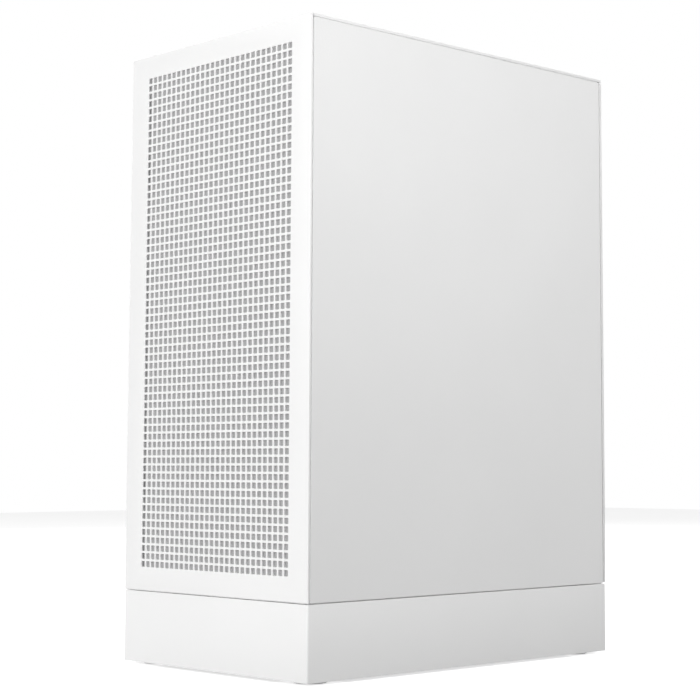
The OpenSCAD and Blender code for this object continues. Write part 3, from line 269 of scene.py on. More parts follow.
def brushed(name, color, rough, along, spread=0.06):
    """Metal with fine lines; `along` scales X, Y and Z, small along the lines."""
    s = Shader(name, color, rough, 1.0)
    lines = s.noise(1, 3, s.stretched(along), 0.7)
    s.tint(lines, spread)
    s.roughen(lines, rough - 0.08, rough + 0.1)
    return s.bump(lines, 0.00001)


def cast_metal(name, color, rough):
    s = Shader(name, color, rough, 1.0)
    s.tint(s.noise(60, 3), 0.05)
    s.roughen(s.noise(400, 3), rough - 0.08, rough + 0.12)
    return s.bump(s.noise(1800, 3), 0.00002)


def nylon_mesh(name, color):
    """Woven filter cloth, seen from the front, the top or below."""
    s = Shader(name, color, 0.75)
    threads = None
    for direction in "XYZ":
        band = s.wave(260, direction)
        threads = band if threads is None else s.math("MAXIMUM", threads, band)
    s.paint(threads, tuple(c * 0.82 for c in color), tuple(c * 1.06 for c in color), (0.2, 0.9))
    return s.bump(threads, 0.00012)


def circuit_board(name, mask, trace, scale=1.0):
    """Solder mask over a maze of tracks, with a fine grain."""
    s = Shader(name, mask, 0.32, Coat_Weight=0.25, Coat_Roughness=0.2)
    cells = s.voronoi(170 * scale, "DISTANCE_TO_EDGE")
    tracks = s.ramp(cells.outputs["Distance"], 1.0, 0.0, (0.02, 0.06))
    fine = s.ramp(s.wave(150 * scale, "Z", distortion=6.0), 0.0, 1.0, (0.62, 0.72))
    both = s.math("MAXIMUM", tracks, s.math("MULTIPLY", fine, 0.6))
    s.paint(both, mask, trace)
    return s.bump(both, 0.00004).bump(s.noise(1500, 2), 0.00001)


def braided(name, color):
    """Sleeve of fine crossing threads."""
    s = Shader(name, color, 0.6, Sheen_Weight=0.25)
    left, right = (s.wave(420, "DIAGONAL", s.stretched((side, 1, 1))) for side in (1, -1))
    threads = s.math("MAXIMUM", left, right)
    s.paint(threads, tuple(c * 0.7 for c in color), color, (0.2, 0.8))
    return s.bump(threads, 0.00025)


def clear_glass(name):
    s = Shader(name, (0.975, 0.99, 0.985), 0.02, Transmission_Weight=1.0, IOR=1.5)
    return s.roughen(s.noise(30, 2), 0.0, 0.03)


def make_floor_material():
    s = Shader("floor", (0.93, 0.93, 0.93), 0.9, Emission_Color=(1, 1, 1, 1), Emission_Strength=0.5)
    s.mat.cycles.emission_sampling = "NONE"
    s.tint(s.noise(3, 2), 0.004)
    return s.bump(s.noise(500, 2), 0.00005)


FLOOR = make_floor_material().mat
WHITE = powder_coat("powder_white", (0.87, 0.87, 0.868), 0.52).mat
BLACK_COAT = powder_coat("powder_black", (0.022, 0.022, 0.024), 0.5).mat
MESH_GREY = nylon_mesh("filter_mesh", (0.40, 0.40, 0.405)).mat
FRAME_GREY = moulded("filter_frame", (0.30, 0.30, 0.305), 0.55).mat
RUBBER = moulded("rubber", (0.50, 0.50, 0.50), 0.75, 0.00006).mat
GROMMET = moulded("grommet_rubber", (0.46, 0.46, 0.47), 0.7, 0.00005).mat
STEEL = brushed("zinc_steel", (0.68, 0.69, 0.70), 0.32, (300, 300, 4000)).mat
SCREW_STEEL = cast_metal("screw_steel", (0.55, 0.55, 0.57), 0.28).mat
BRASS = cast_metal("brass", (0.80, 0.58, 0.26), 0.3).mat
NYLON = moulded("clip_nylon", (0.80, 0.80, 0.77), 0.45, Subsurface_Weight=0.1).mat
DARK = moulded("dark_plastic", (0.018, 0.018, 0.02), 0.45).mat
BUTTON = moulded("button_plastic", (0.80, 0.80, 0.795), 0.35).mat
BOARD = circuit_board("board_mask", (0.70, 0.71, 0.70), (0.60, 0.62, 0.61)).mat
DARK_BOARD = circuit_board("dark_mask", (0.012, 0.015, 0.014), (0.03, 0.045, 0.04), 1.4).mat
GREEN_BOARD = circuit_board("green_mask", (0.02, 0.11, 0.045), (0.05, 0.20, 0.09)).mat
FINS = brushed("fin_aluminium", (0.80, 0.81, 0.82), 0.3, (200, 3000, 200), 0.04).mat
NICKEL = cast_metal("nickel", (0.74, 0.73, 0.71), 0.2).mat
SATIN = brushed("satin_nickel", (0.74, 0.74, 0.74), 0.38, (300, 3000, 120)).mat
CAST = cast_metal("cast_aluminium", (0.56, 0.57, 0.58), 0.42).mat
FAN_WHITE = moulded("fan_white", (0.83, 0.83, 0.825), 0.42).mat
FAN_GREY = moulded("fan_grey", (0.12, 0.12, 0.125), 0.4).mat
CARD_WHITE = moulded("card_white", (0.80, 0.80, 0.795), 0.38).mat
CABLE = braided("cable_sleeve", (0.78, 0.78, 0.775)).mat
GLASS = clear_glass("side_glass").mat
GOLD = cast_metal("contact_gold", (0.90, 0.66, 0.28), 0.25).mat
TONGUE = moulded("socket_tongue", (0.02, 0.10, 0.32), 0.4).mat
CHIP = moulded("chip_epoxy", (0.02, 0.02, 0.021), 0.5, 0.00002).mat


# ---------------- mesh building

# Turns for flat work: from (u, v, w) to X, Y and Z, with w as the outward normal of the face.
FACE_FRONT = Matrix(((1, 0, 0), (0, 0, -1), (0, 1, 0))).to_4x4()
FACE_BACK = Matrix(((-1, 0, 0), (0, 0, 1), (0, 1, 0))).to_4x4()
FACE_TOP = Matrix.Identity(4)
FACE_UNDER = Matrix(((1, 0, 0), (0, -1, 0), (0, 0, -1))).to_4x4()
FACE_RIGHT = Matrix(((0, 0, 1), (1, 0, 0), (0, 1, 0))).to_4x4()
FACE_LEFT = Matrix(((0, 0, -1), (-1, 0, 0), (0, 1, 0))).to_4x4()


def at(place, facing=FACE_TOP, turn=0.0):
    """Local frame at a point, facing a way, turned about its own normal by degrees."""
    return Matrix.Translation(place) @ facing @ Matrix.Rotation(math.radians(turn), 4, "Z")


def node_box(name):
    """Low and high corner of a CAD node, in millimetres like everything below."""
    return [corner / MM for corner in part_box(name)]


def joint_place(name):
    """Place of a hinge's axis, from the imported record."""
    return Vector(next(j["pos_m"] for j in frame["joints"] if j["name"] == name)) / MM


class Solid:
    """Collects vertices and faces of one piece, in a local frame and of one kind of material at a time."""

    def __init__(self, local=FACE_TOP):
        self.verts = []
        self.faces = []
        self.kinds = []
        self.local = local
        self.kind = 0

    def put(self, points, faces):
        first = len(self.verts)
        self.verts += [self.local @ Vector(p) for p in points]
        self.faces += [[first + i for i in f] for f in faces]
        self.kinds += [self.kind] * len(faces)

    def rings(self, rings, cap_start=True, cap_end=True):
        """Skin over rings of equally many points."""
        n = len(rings[0])
        faces = []
        for i in range(len(rings) - 1):
            for k in range(n):
                m = (k + 1) % n
                faces.append((i * n + k, i * n + m, (i + 1) * n + m, (i + 1) * n + k))
        if cap_start:
            faces.append(tuple(range(n - 1, -1, -1)))
        if cap_end:
            faces.append(tuple(range((len(rings) - 1) * n, len(rings) * n)))
        self.put([p for ring in rings for p in ring], faces)

    def edge(self, outline, steps, caps):
        """Skin over insets of an outline; each step is an inset and its w."""
        self.rings([[(*p, w) for p in inset(outline, d)] for d, w in steps], caps, caps)

    def slab(self, outline, w0, w1, bevel=0.0, both=False):
        """Extrudes an outline of (u, v) from w0 to w1, with a rounded rim at w1, and at w0 if both."""
        steps = rim_steps(w0, w1, bevel)
        if both and bevel:
            steps[:1] = [(bevel, w0), (bevel * 0.3, w0 + bevel * 0.3), (0.0, w0 + bevel)]
        self.edge(outline, steps, True)

    def box(self, low, high, bevel=0.0):
        """Box between two corners, with all its edges rounded a little."""
        low, high = Vector(low), Vector(high)
        bevel = min(bevel, min(high - low) * 0.45)
        self.slab(rectangle(low.x, low.y, high.x, high.y, bevel, 2), low.z, high.z, bevel, True)

    def lathe(self, profile, sides=32, closed=False):
        """Turns a profile of (radius, w) about the local w axis."""
        n = len(profile)
        points = [(r * u, r * v, w) for u, v in circle(1, sides) for r, w in profile]
        faces = []
        for k in range(sides):
            m = (k + 1) % sides
            for i in range(n if closed else n - 1):
                j = (i + 1) % n
                faces.append((k * n + i, m * n + i, m * n + j, k * n + j))
        self.put(points, faces)

    def disc(self, r, w0, w1, bevel=0.0, sides=32):
        """Round plug from w0 to w1 with a rounded far rim."""
        self.slab(circle(r, sides), w0, w1, bevel)

    def face(self, loops, w):
        """Flat face inside the first loop of (u, v) and outside the others."""
        triangles = tessellate_polygon([[Vector((*p, 0)) for p in loop] for loop in loops])
        self.put([(*p, w) for loop in loops for p in loop], [tuple(t) for t in triangles])

    def wall(self, outline, w0, w1, rim=0.0):
        """Edge of a sheet along an outline, rounded by rim at w1."""
        self.edge(outline, rim_steps(w0, w1, rim), False)

    def plate(self, outline, holes, w0, w1, rim=0.0, fields=()):
        """Sheet from w0 to w1 with holes and with fields left open, its edge at w1 rounded by rim."""
        self.face([inset(outline, rim), *fields, *holes], w1)
        self.face([outline, *fields, *holes], w0)
        self.wall(outline, w0, w1, rim)
        for hole in holes:
            self.wall(hole, w0, w1)

    def perforation(self, centre, columns, rows, pitch, side, radius, w0, w1, rollover=0.0, keep=None):
        """Sheet of square cells, each with a round-cornered hole; keep(u, v) says which are pierced."""
        for i in range(columns):
            for j in range(rows):
                u = centre[0] + (i - (columns - 1) / 2) * pitch
                v = centre[1] + (j - (rows - 1) / 2) * pitch
                cell = centred((pitch, pitch), (u, v))
                if keep and not keep(u, v):
                    self.put([(*p, w) for w in (w1, w0) for p in cell], [(0, 1, 2, 3), (7, 6, 5, 4)])
                    continue
                self.cell(cell, (u, v), side, radius, w0, w1, rollover)

    def cell(self, cell, centre, side, radius, w0, w1, rollover):
        """One cell of a perforated sheet."""
        loop = centred((side, side), centre, radius, 0, 2)
        lip = centred((side, side), centre, radius + rollover, rollover, 2)
        n = len(loop)
        points = [(*p, w1) for p in cell] + [(*p, w1) for p in lip]
        points += [(*p, w0) for p in cell] + [(*p, w0) for p in loop]
        faces = []
        per = n // 4
        back = 4 + n
        for c in range(4):
            start = 4 + c * per
            back_start = back + 4 + c * per
            for k in range(per - 1):
                faces.append((c, start + k + 1, start + k))
                faces.append((back + c, back_start + k, back_start + k + 1))
            after = 4 + ((c + 1) % 4) * per
            back_after = back + 4 + ((c + 1) % 4) * per
            faces.append((c, (c + 1) % 4, after, start + per - 1))
            faces.append((back + (c + 1) % 4, back + c, back_start + per - 1, back_after))
        self.put(points, faces)
        steps = ((lip, w1), (loop, w1 - rollover), (loop, w0))
        self.rings([[(*p, w) for p in ring] for ring, w in steps], False, False)

    def tube(self, route, r, sides=8):
        """Round tube along a list of points."""
        ring = circle(r, sides)
        across = carried(route, (1, 0.31, 0.17))
        self.rings([[p + side * u + up * v for u, v in ring] for p, side, up in across])

    def piece(self, name, materials, body, slot, replaces=(), smooth=35.0):
        """Makes the Blender object, smooth up to an angle in degrees, and gives it its body. The slot is not
        used.
        """
        mesh = bpy.data.meshes.new(name)
        mesh.from_pydata([corner * MM for corner in self.verts], [], self.faces)
        for material in materials if isinstance(materials, list) else [materials]:
            mesh.materials.append(material)
        mesh.polygons.foreach_set("material_index", self.kinds)
        bm = bmesh.new()
        bm.from_mesh(mesh)
        bmesh.ops.remove_doubles(bm, verts=bm.verts, dist=MERGE)
        bmesh.ops.dissolve_degenerate(bm, edges=bm.edges, dist=MERGE / 10)
        bmesh.ops.recalc_face_normals(bm, faces=bm.faces)
        limit = math.radians(smooth)
        for face in bm.faces:
            face.smooth = True
        for edge in bm.edges:
            edge.smooth = len(edge.link_faces) == 2 and edge.calc_face_angle(math.pi) < limit
        bm.to_mesh(mesh)
        bm.free()
        made = bpy.data.objects.new(name, mesh)
        bpy.context.scene.collection.objects.link(made)
        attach(made, body)
        if replaces:
            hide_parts(*replaces)
        return made


def circle(r, sides=32, centre=(0, 0)):
    turns = [2 * math.pi * k / sides for k in range(sides)]
    return [(centre[0] + r * math.cos(a), centre[1] + r * math.sin(a)) for a in turns]


def carried(route, side):
    """Each point of a route with two directions across it, which don't twist along the route."""
    side = Vector(side)
    for i, p in enumerate(route):
        way = (route[min(i + 1, len(route) - 1)] - route[max(i - 1, 0)]).normalized()
        side = (side - way * side.dot(way)).normalized()
        yield p, side, way.cross(side)


def rim_steps(w0, w1, rim):
    """Inset and w of each step up an edge that is rounded by rim at w1."""
    if not rim:
        return [(0.0, w0), (0.0, w1)]
    return [(0.0, w0), (0.0, w1 - rim), (rim * 0.3, w1 - rim * 0.3), (rim, w1)]


def rectangle(u0, v0, u1, v1, r=0.0, steps=3):
    """Outline of a rectangle with round corners, anticlockwise from its low corner."""
    if r <= 0:
        return [(u0, v0), (u1, v0), (u1, v1), (u0, v1)]
    points = []
    corners = ((u0 + r, v0 + r, 180), (u1 - r, v0 + r, 270), (u1 - r, v1 - r, 0), (u0 + r, v1 - r, 90))
    for cu, cv, start in corners:
        for k in range(steps + 1):
            a = math.radians(start + 90 * k / steps)
            points.append((cu + r * math.cos(a), cv + r * math.sin(a)))
    return points


def centred(size, place, r=0.0, grow=0.0, steps=3):
    """Rectangle of a size about a place."""
    half_u, half_v = size[0] / 2 + grow, size[1] / 2 + grow
    return rectangle(place[0] - half_u, place[1] - half_v, place[0] + half_u, place[1] + half_v, r, steps)


def inset(outline, distance):
    """Moves an anticlockwise outline inwards."""
    if not distance:
        return outline
    n = len(outline)
    moved = []
    for i in range(n):
        before, here, after = (Vector(outline[(i + d) % n]) for d in (-1, 0, 1))
        a, b = (here - before).normalized(), (after - here).normalized()
        normal_a, normal_b = Vector((-a.y, a.x)), Vector((-b.y, b.x))
        middle = normal_a + normal_b
        middle /= max(middle.dot(normal_a), 0.3)
        moved.append(tuple(here + middle * distance))
    return moved


def dress(node, material, bevel=0.0, segments=2):
    """Gives a CAD node its material, and rounds its sharp edges by `bevel` millimetres."""
    target = nodes[node]
    target.data.materials.clear()
    target.data.materials.append(material)
    if not bevel:
        return
    target.data.polygons.foreach_set("use_smooth", [True] * len(target.data.polygons))
    weld = target.modifiers.new("weld", "WELD")
    weld.merge_threshold = MERGE
    flat = target.modifiers.new("flat", "DECIMATE")
    flat.decimate_type = "DISSOLVE"
    flat.angle_limit = math.radians(0.5)
    rounding = target.modifiers.new("rounding", "BEVEL")
    rounding.width = bevel * MM
    rounding.segments = segments
    rounding.limit_method = "ANGLE"
    rounding.angle_limit = math.radians(35)
    rounding.harden_normals = True


# ---------------- outer panels

# The square perforation that the front, the top and the rear share, the flange's thickness, and how many
# cells the perforated fields have.
PITCH = 6
HOLE = 4.35
HOLE_ROUND = 0.55
ROLLOVER = 0.12
SKIN = 1.2
COLUMNS = 29
FRONT_ROWS = 63
TOP_ROWS = 36


def field_outline(centre, columns, rows):
    """Outline of a perforated field with a point at each cell's corner."""
    u0, v0 = centre[0] - columns * PITCH / 2, centre[1] - rows * PITCH / 2
    u1, v1 = u0 + columns * PITCH, v0 + rows * PITCH
    points = [(u0 + k * PITCH, v0) for k in range(columns)]
    points += [(u1, v0 + k * PITCH) for k in range(rows)]
    points += [(u1 - k * PITCH, v1) for k in range(columns)]
    points += [(u0, v1 - k * PITCH) for k in range(rows)]
    return points


def pierced_sheet(solid, outline, holes, centre, columns, rows, w0, w1, rim=0.0, keep=None):
    """Flat sheet with a perforated field, other holes, and a rounded rim at w1."""
    solid.plate(outline, holes, w0, w1, rim, [field_outline(centre, columns, rows)])
    solid.perforation(centre, columns, rows, PITCH, HOLE, HOLE_ROUND, w0, w1, ROLLOVER, keep)


def add_front_panel():
    low, high = node_box("front_panel")
    thick = 1.4
    centre_v = (low.z + high.z) / 2
    solid = Solid(FACE_FRONT)
    outline = rectangle(low.x, low.z, high.x, high.z, 0.6, 2)
    pierced_sheet(solid, outline, [], (0, centre_v), COLUMNS, FRONT_ROWS, -low.y - thick, -low.y, 0.35)
    # Folded flange behind the face.
    u, v0, v1 = 97, 60, 460
    outer = rectangle(-u, v0, u, v1, 2)
    solid.plate(outer, [inset(outer, SKIN)], -high.y, -low.y - thick)
    solid.piece("perforated_front", WHITE, "front_panel", "case_white", ["front_panel"])


def add_filter(solid, low, high, edge, cloth_at, bars):
    """Framed filter cloth between two corners in (u, v, w); cloth_at is a share of the depth."""
    cloth = 0.4
    middle = low.z + (high.z - low.z - cloth) * cloth_at
    solid.kind = 1
    solid.slab(rectangle(low.x + edge / 2, low.y + edge / 2, high.x - edge / 2, high.y - edge / 2),
               middle, middle + cloth)
    solid.kind = 0
    windows = []
    span = (high.y - low.y - edge) / bars
    for k in range(bars):
        v0 = low.y + edge + k * span
        windows.append(rectangle(low.x + edge, v0, high.x - edge, v0 + span - edge, 3))
    w1 = middle - 0.01 if cloth_at == 1 else high.z
    solid.plate(rectangle(low.x, low.y, high.x, high.y, 1), windows, low.z, w1)


def add_filters():
    finish = [FRAME_GREY, MESH_GREY]
    low, high = node_box("front_filter")
    solid = Solid(FACE_FRONT)
    add_filter(solid, Vector((low.x, low.z, -high.y)), Vector((high.x, high.z, -low.y)), 4, 1, 3)
    solid.piece("front_filter_cloth", finish, "front_panel", "filter_mesh", ["front_filter"])
    # The top cloth reaches past its frame to the outer holes, and stops short of the front studs.
    low, high = node_box("top_filter")
    solid = Solid()
    frame_top = high.z - 0.45
    add_filter(solid, low, Vector((high.x, high.y, frame_top)), 5, 0.5, 2)
    wide, stop = 87.6, -91.5
    solid.kind = 1
    solid.slab([(low.x, low.y), (high.x, low.y), (high.x, stop), (wide, stop), (wide, high.y + 6),
                (-wide, high.y + 6), (-wide, stop), (low.x, stop)], frame_top + 0.05, high.z)
    solid.piece("top_filter_cloth", finish, "top_panel", "filter_mesh", ["top_filter"])
    low, high = node_box("bottom_filter")
    solid = Solid()
    frame_end = high.y - 5
    add_filter(solid, low, Vector((high.x, frame_end, high.z)), 7, 0.5, 3)
    # Pull tab with three grip ribs.
    half = 22
    solid.box((-half, frame_end - 2, low.z + 0.5), (half, high.y, high.z - 0.5), 0.8)
    for k in range(3):
        y = high.y - (1.2 + 1.3 * k)
        solid.box((-half + 4, y - 0.3, high.z - 0.8), (half - 4, y + 0.3, high.z - 0.1), 0.2)
    solid.piece("bottom_filter_cloth", finish, "bottom_filter", "filter_mesh", ["bottom_filter"])


def add_side_glass():
    """Clear pane, with a white border fired on its inner face that hides the rails behind."""
    low, high = node_box("left_glass")
    rail_low, rail_high = node_box("left_glass_rails")
    rail = 18
    painted = 0.06
    inner = high.x - painted
    solid = Solid()
    solid.box((low.x, low.y, low.z), (inner - 0.02, high.y, high.z), 0.7)
    solid.piece("side_glass_pane", GLASS, "left_panel", "glass", ["left_glass"])
    border = Solid(FACE_LEFT)
    rim, side = 1.2, 13
    border.plate(rectangle(-high.y + rim, low.z + rim, -low.y - rim, high.z - rim, 1),
                 [rectangle(-high.y + side, rail_low.z + rail + 2, -low.y - side, rail_high.z - rail - 2, 2)],
                 -inner - 0.03, -inner)
    border.piece("side_glass_border", WHITE, "left_panel", "case_white")


# Places along X of what stands in the top row, and the line that it stands on.
ROW_Y = -137
BUTTON_X, JACK_X, USB_C_X = 72, 48, 28
USB_A_X = (4, -22)
USB_A = (13.1, 5.7)
USB_C = (9.2, 3.4)
BUTTON_R = 7
JACK_R = 1.8


def add_top_panel():
    low, high = node_box("top_panel")
    thick = 2
    w0, w1 = high.z - thick, high.z
    gap = 0.4
    solid = Solid()
    holes = [centred(USB_A, (x, ROW_Y), 0.4, gap) for x in USB_A_X]
    holes.append(centred(USB_C, (USB_C_X, ROW_Y), 2, gap))
    holes.append(circle(3.9, 32, (JACK_X, ROW_Y)))
    holes.append(circle(BUTTON_R + gap, 56, (BUTTON_X, ROW_Y)))
    outline = rectangle(low.x, low.y, high.x, high.y, 0.6, 2)
    pierced_sheet(solid, outline, holes, (0, 10), COLUMNS, TOP_ROWS, w0, w1, 0.35)
    # Skirts inside the side panels.
    for side in (-1, 1):
        x0, x1 = sorted((side * 93.4, side * 94.6))
        solid.box((x0, -88, low.z), (x1, 144, w0 + 0.01), 0.2)
    solid.piece("perforated_top", WHITE, "top_panel", "case_white", ["top_panel"])


def usb_shell(solid, size, r, depth, tongue):
    """Metal shell with its tongue and contacts, whose mouth is at w = 0."""
    solid.kind = 0
    outer, inner = centred(size, (0, 0), r), centred(size, (0, 0), max(r - 0.3, 0), -0.3)
    solid.plate(outer, [inner], -depth, 0, 0.1)
    solid.kind = 1
    wide, thick, middle = tongue
    under = middle - thick / 2
    solid.box((-wide / 2, under, -depth), (wide / 2, middle + thick / 2, -1.2), 0.15)
    solid.kind = 2
    contacts = 4
    pitch = wide / (contacts + 0.6)
    for k in range(contacts):
        u = (k - (contacts - 1) / 2) * pitch
        solid.box((u - pitch * 0.22, under - 0.12, -depth * 0.9), (u + pitch * 0.22, under + 0.05, -2))


def add_top_row():
    low, high = node_box("io_sockets")
    depth = high.z - low.z - 0.5
    solid = Solid()
    for x in USB_A_X:
        solid.local = at((x, ROW_Y, high.z))
        usb_shell(solid, USB_A, 0.4, depth, (11, 1.8, 1.2))
    solid.local = at((USB_C_X, ROW_Y, high.z))
    usb_shell(solid, USB_C, 1.65, depth, (6.6, 0.7, 0))
    solid.local = at((JACK_X, ROW_Y, high.z))
    solid.kind = 1
    solid.lathe([(JACK_R, -depth), (JACK_R, -0.3), (JACK_R + 0.3, 0), (3.2, 0), (3.5, -0.3),
                 (3.5, -depth)], 40, True)
    solid.disc(JACK_R, -depth, -depth + 1)
    solid.piece("top_sockets", [STEEL, DARK, GOLD], "chassis", "steel", ["io_sockets"])
    add_button()


def add_button():
    low, high = node_box("power_button")
    solid = Solid(at((BUTTON_X, ROW_Y, high.z)))
    depth = high.z - low.z
    solid.lathe([(0, -0.45), (3, -0.36), (5.4, -0.12), (6.1, 0), (6.6, -0.12),
                 (6.93, -0.45), (BUTTON_R, -0.9), (BUTTON_R, 1 - depth), (3, 1 - depth),
                 (3, -depth), (0, -depth)], 64)
    solid.piece("button_cap", BUTTON, "power_button", "button_plastic", ["power_button"])


def add_seam_strips():
    """Folded edges a little way inside the gaps between the outer panels, which then read as hairlines."""
    face_low, face_high = node_box("front_panel")
    side_low, side_high = node_box("right_panel")
    lid_high = node_box("top_panel")[1]
    deep, wide, clear = 0.8, 2, 0.1
    near, far = face_low.y + 1.3, lid_high.y - 4
    behind_face, under_lid, on_plinth = Solid(), Solid(), Solid()
    plinth_top = node_box("base_plinth")[1].z
    for side in (-1, 1):
        x0, x1 = sorted((side * (face_high.x - deep), side * (face_high.x - deep - wide)))
        behind_face.box((x0, near, side_low.z + 2), (x1, side_low.y - clear, side_high.z - 1), 0.05)
        under_lid.box((x0, side_low.y + 1, side_high.z + clear), (x1, far, lid_high.z - 1.9), 0.05)
        on_plinth.box((x0, face_low.y + deep, plinth_top - 0.6), (x1, far, face_low.z - clear), 0.05)
    front = face_low.y + deep
    on_plinth.box((-face_high.x + 6, front, plinth_top - 0.6),
                  (face_high.x - 3.5, front + wide, face_low.z - clear), 0.05)
    behind_face.piece("front_edge_folds", WHITE, "front_panel", "case_white")
    under_lid.piece("top_edge_folds", WHITE, "top_panel", "case_white")
    on_plinth.piece("plinth_edge_folds", WHITE, "chassis", "case_white")


def add_outer_shell():
    add_front_panel()
    add_top_panel()
    add_filters()
    add_top_row()
    add_seam_strips()
    dress("base_plinth", WHITE, 0.9, 3)
    dress("right_panel", WHITE, 0.45, 2)
    dress("rubber_feet", RUBBER, 0.5)
    add_side_glass()
    dress("left_glass_rails", WHITE, 0.2)
    for node in ("front_panel_studs", "right_panel_studs", "top_panel_studs"):
        dress(node, SCREW_STEEL)


# ---------------- rear

# Expansion slots: the standard pitch, and the height of each cut-out.
SLOT_PITCH = 20.32
SLOT_HEIGHT = 13


def rear_windows():
    """Cut-outs of the rear sheet as (x0, z0, x1, z1)."""
    shield_low, shield_high = node_box("io_shield")
    bracket_low, bracket_high = node_box("slot_brackets")
    psu_low, psu_high = node_box("psu_case")
    windows = [(shield_low.x, shield_low.z, shield_high.x, shield_high.z)]
    for k in range(4):
        z = bracket_high.z - 9 - k * SLOT_PITCH
        windows.append((bracket_low.x + 12, z - SLOT_HEIGHT / 2, bracket_high.x - 4, z + SLOT_HEIGHT / 2))
    windows.append((psu_low.x + 5, psu_low.z + 4, psu_high.x - 5, psu_high.z - 4))
    for x in (88, 94):
        windows += [(x, z, x + HOLE, z + 50) for z in range(100, 401, 60)]
    return windows


def add_rear_panel():
    """Rear sheet, with the front's perforation over its fan."""
    low, high = node_box("rear_panel")
    fan = joint_place("rear_fan_spin")
    thick = 1
    solid = Solid(FACE_BACK)
    # Seen from behind, u runs along -X.
    holes = [rectangle(-x1, z0, -x0, z1, 0.4, 2) for x0, z0, x1, z1 in rear_windows()]
    centre = (-fan.x, fan.z)
    for i, j in CORNERS:
        holes.append(circle(2.2, 16, (centre[0] + i * SCREW_AT, centre[1] + j * SCREW_AT)))
    cells = 17
    outline = rectangle(low.x, low.z, high.x, high.z, 0.5, 2)
    pierced_sheet(solid, outline, holes, centre, cells, cells, high.y - thick, high.y, 0.15,
                  lambda u, v: math.hypot(u - centre[0], v - centre[1]) < 51)
    solid.local = Matrix.Identity(4)
    for side in (-1, 1):
        x0, x1 = sorted((side * high.x, side * (high.x - 2)))
        solid.box((x0, low.y, low.z), (x1, high.y - thick + 0.01, high.z), 0.3)
    solid.piece("rear_sheet", WHITE, "chassis", "case_white", ["rear_panel"])


def cross_outline(arm, half):
    """Outline of a cross recess."""
    quarter = [Vector(p) for p in ((half, half), (half, arm), (-half, arm))]
    return [tuple(Matrix.Rotation(math.radians(90 * k), 2) @ p) for k in range(4) for p in quarter]


def screw_head(solid, r, h):
    """Pan head with a cross recess, standing on w = 0."""
    crown = circle(0.66 * r, 28)
    recess = cross_outline(0.48 * r, 0.13 * r)
    steps = [(r, 0), (r, 0.35 * h), (0.9 * r, 0.75 * h), (0.66 * r, h)]
    solid.rings([[(*p, w) for p in circle(radius, 28)] for radius, w in steps], True, False)
    solid.face([crown, recess], h)
    solid.rings([[(*p, w) for p in recess] for w in (h, 0.35 * h)], False, True)


def screw_places():
    """Every visible case screw: place, facing, head radius and height."""
    places = []
    low, high = node_box("motherboard")
    for y in (low.y + 10, low.y + 110, high.y - 26):
        for z in (low.z + 16, low.z + 112, high.z - 20):
            places.append(((low.x, y, z), FACE_LEFT, 3, 1.8))
    sheet_back = node_box("rear_panel")[1].y
    plate_front = node_box("front_fan_plate")[0].y
    fans = [("rear_fan_spin", sheet_back, FACE_BACK)]
    fans += [("front_fan_%d_spin" % k, plate_front, FACE_FRONT) for k in (1, 2, 3)]
    for i, j in CORNERS:
        for spin, y, facing in fans:
            fan = joint_place(spin)
            places.append(((fan.x + i * SCREW_AT, y, fan.z + j * SCREW_AT), facing, 4, 2))
    low, high = node_box("psu_case")
    for x in (low.x + 2.5, high.x - 2.5):
        for z in (low.z + 8, high.z - 8):
            places.append(((x, sheet_back, z), FACE_BACK, 3.2, 2))
    return places


def add_screws():
    solid = Solid()
    for turn, (place, facing, r, h) in enumerate(screw_places()):
        solid.local = at(place, facing, 37 * turn)
        screw_head(solid, r, h)
    solid.piece("cross_head_screws", SCREW_STEEL, "chassis", "steel", ["case_screws"])
    # Knurled thumb screws that hold the slot covers.
    low, high = node_box("thumb_screws")
    knob = Solid()
    r, teeth = (high.x - low.x) / 2, 30
    outline = []
    for k in range(4 * teeth):
        radius = r if k % 4 in (0, 1) else r - 0.35
        a = 2 * math.pi * k / (4 * teeth)
        outline.append((radius * math.cos(a), radius * math.sin(a)))
    for k in range(4):
        z = high.z - r - k * SLOT_PITCH
        knob.local = at(((low.x + high.x) / 2, low.y, z), FACE_BACK, 23 * k)
        grip = high.y - low.y - 2
        knob.slab(circle(r - 0.5, 48), 0, 0.8)
        knob.slab(outline, 0.8, grip, 0.3, True)
        knob.local = knob.local @ Matrix.Translation((0, 0, grip - 0.01))
        screw_head(knob, 3.6, 2)
    knob.piece("knurled_thumb_screws", SCREW_STEEL, "chassis", "steel", ["thumb_screws"])


def add_socket_tongues():
    """Tongues and contacts inside the rear sockets, which the plain shells leave out."""
    high = node_box("rear_io_ports")[1]
    shield_top = node_box("io_shield")[1].z
    solid = Solid()
    for row in (24, 44, 64):
        z = shield_top - row
        for x in (high.x - 12, high.x - 4.4):
            solid.local = at((x, high.y, z), FACE_BACK, 90)
            solid.kind = 0
            solid.box((-5.5, 0.5, -9.9), (5.5, 2.0, -1), 0.15)
            solid.kind = 1
            for k in range(4):
                u = (k - 1.5) * 2.4
                solid.box((u - 0.5, 0.35, -9.5), (u + 0.5, 0.55, -2))
    for row in (92, 112):
        solid.local = at((high.x - 4.5, high.y, shield_top - row), FACE_BACK, 90)
        solid.kind = 2
        solid.box((-5.6, -0.9, -8.9), (5.6, 0.9, -1.2), 0.2)
    solid.local = at((high.x - 6.5, high.y, shield_top - 130), FACE_BACK, 90)
    solid.kind = 1
    for k in range(8):
        u = (k - 3.5) * 1.02
        solid.box((u - 0.2, 3.2, -11.9), (u + 0.2, 3.8, -3))
    card = node_box("slot_brackets")[1]
    solid.kind = 2
    for x in (-28, -3, 22):
        solid.local = at((x + 8, card.y, card.z - 12.65), FACE_BACK)
        solid.box((-5.6, -0.9, -8.4), (5.6, 0.9, -1.2), 0.2)
    solid.piece("socket_tongues", [TONGUE, GOLD, DARK], "chassis", "dark_plastic")


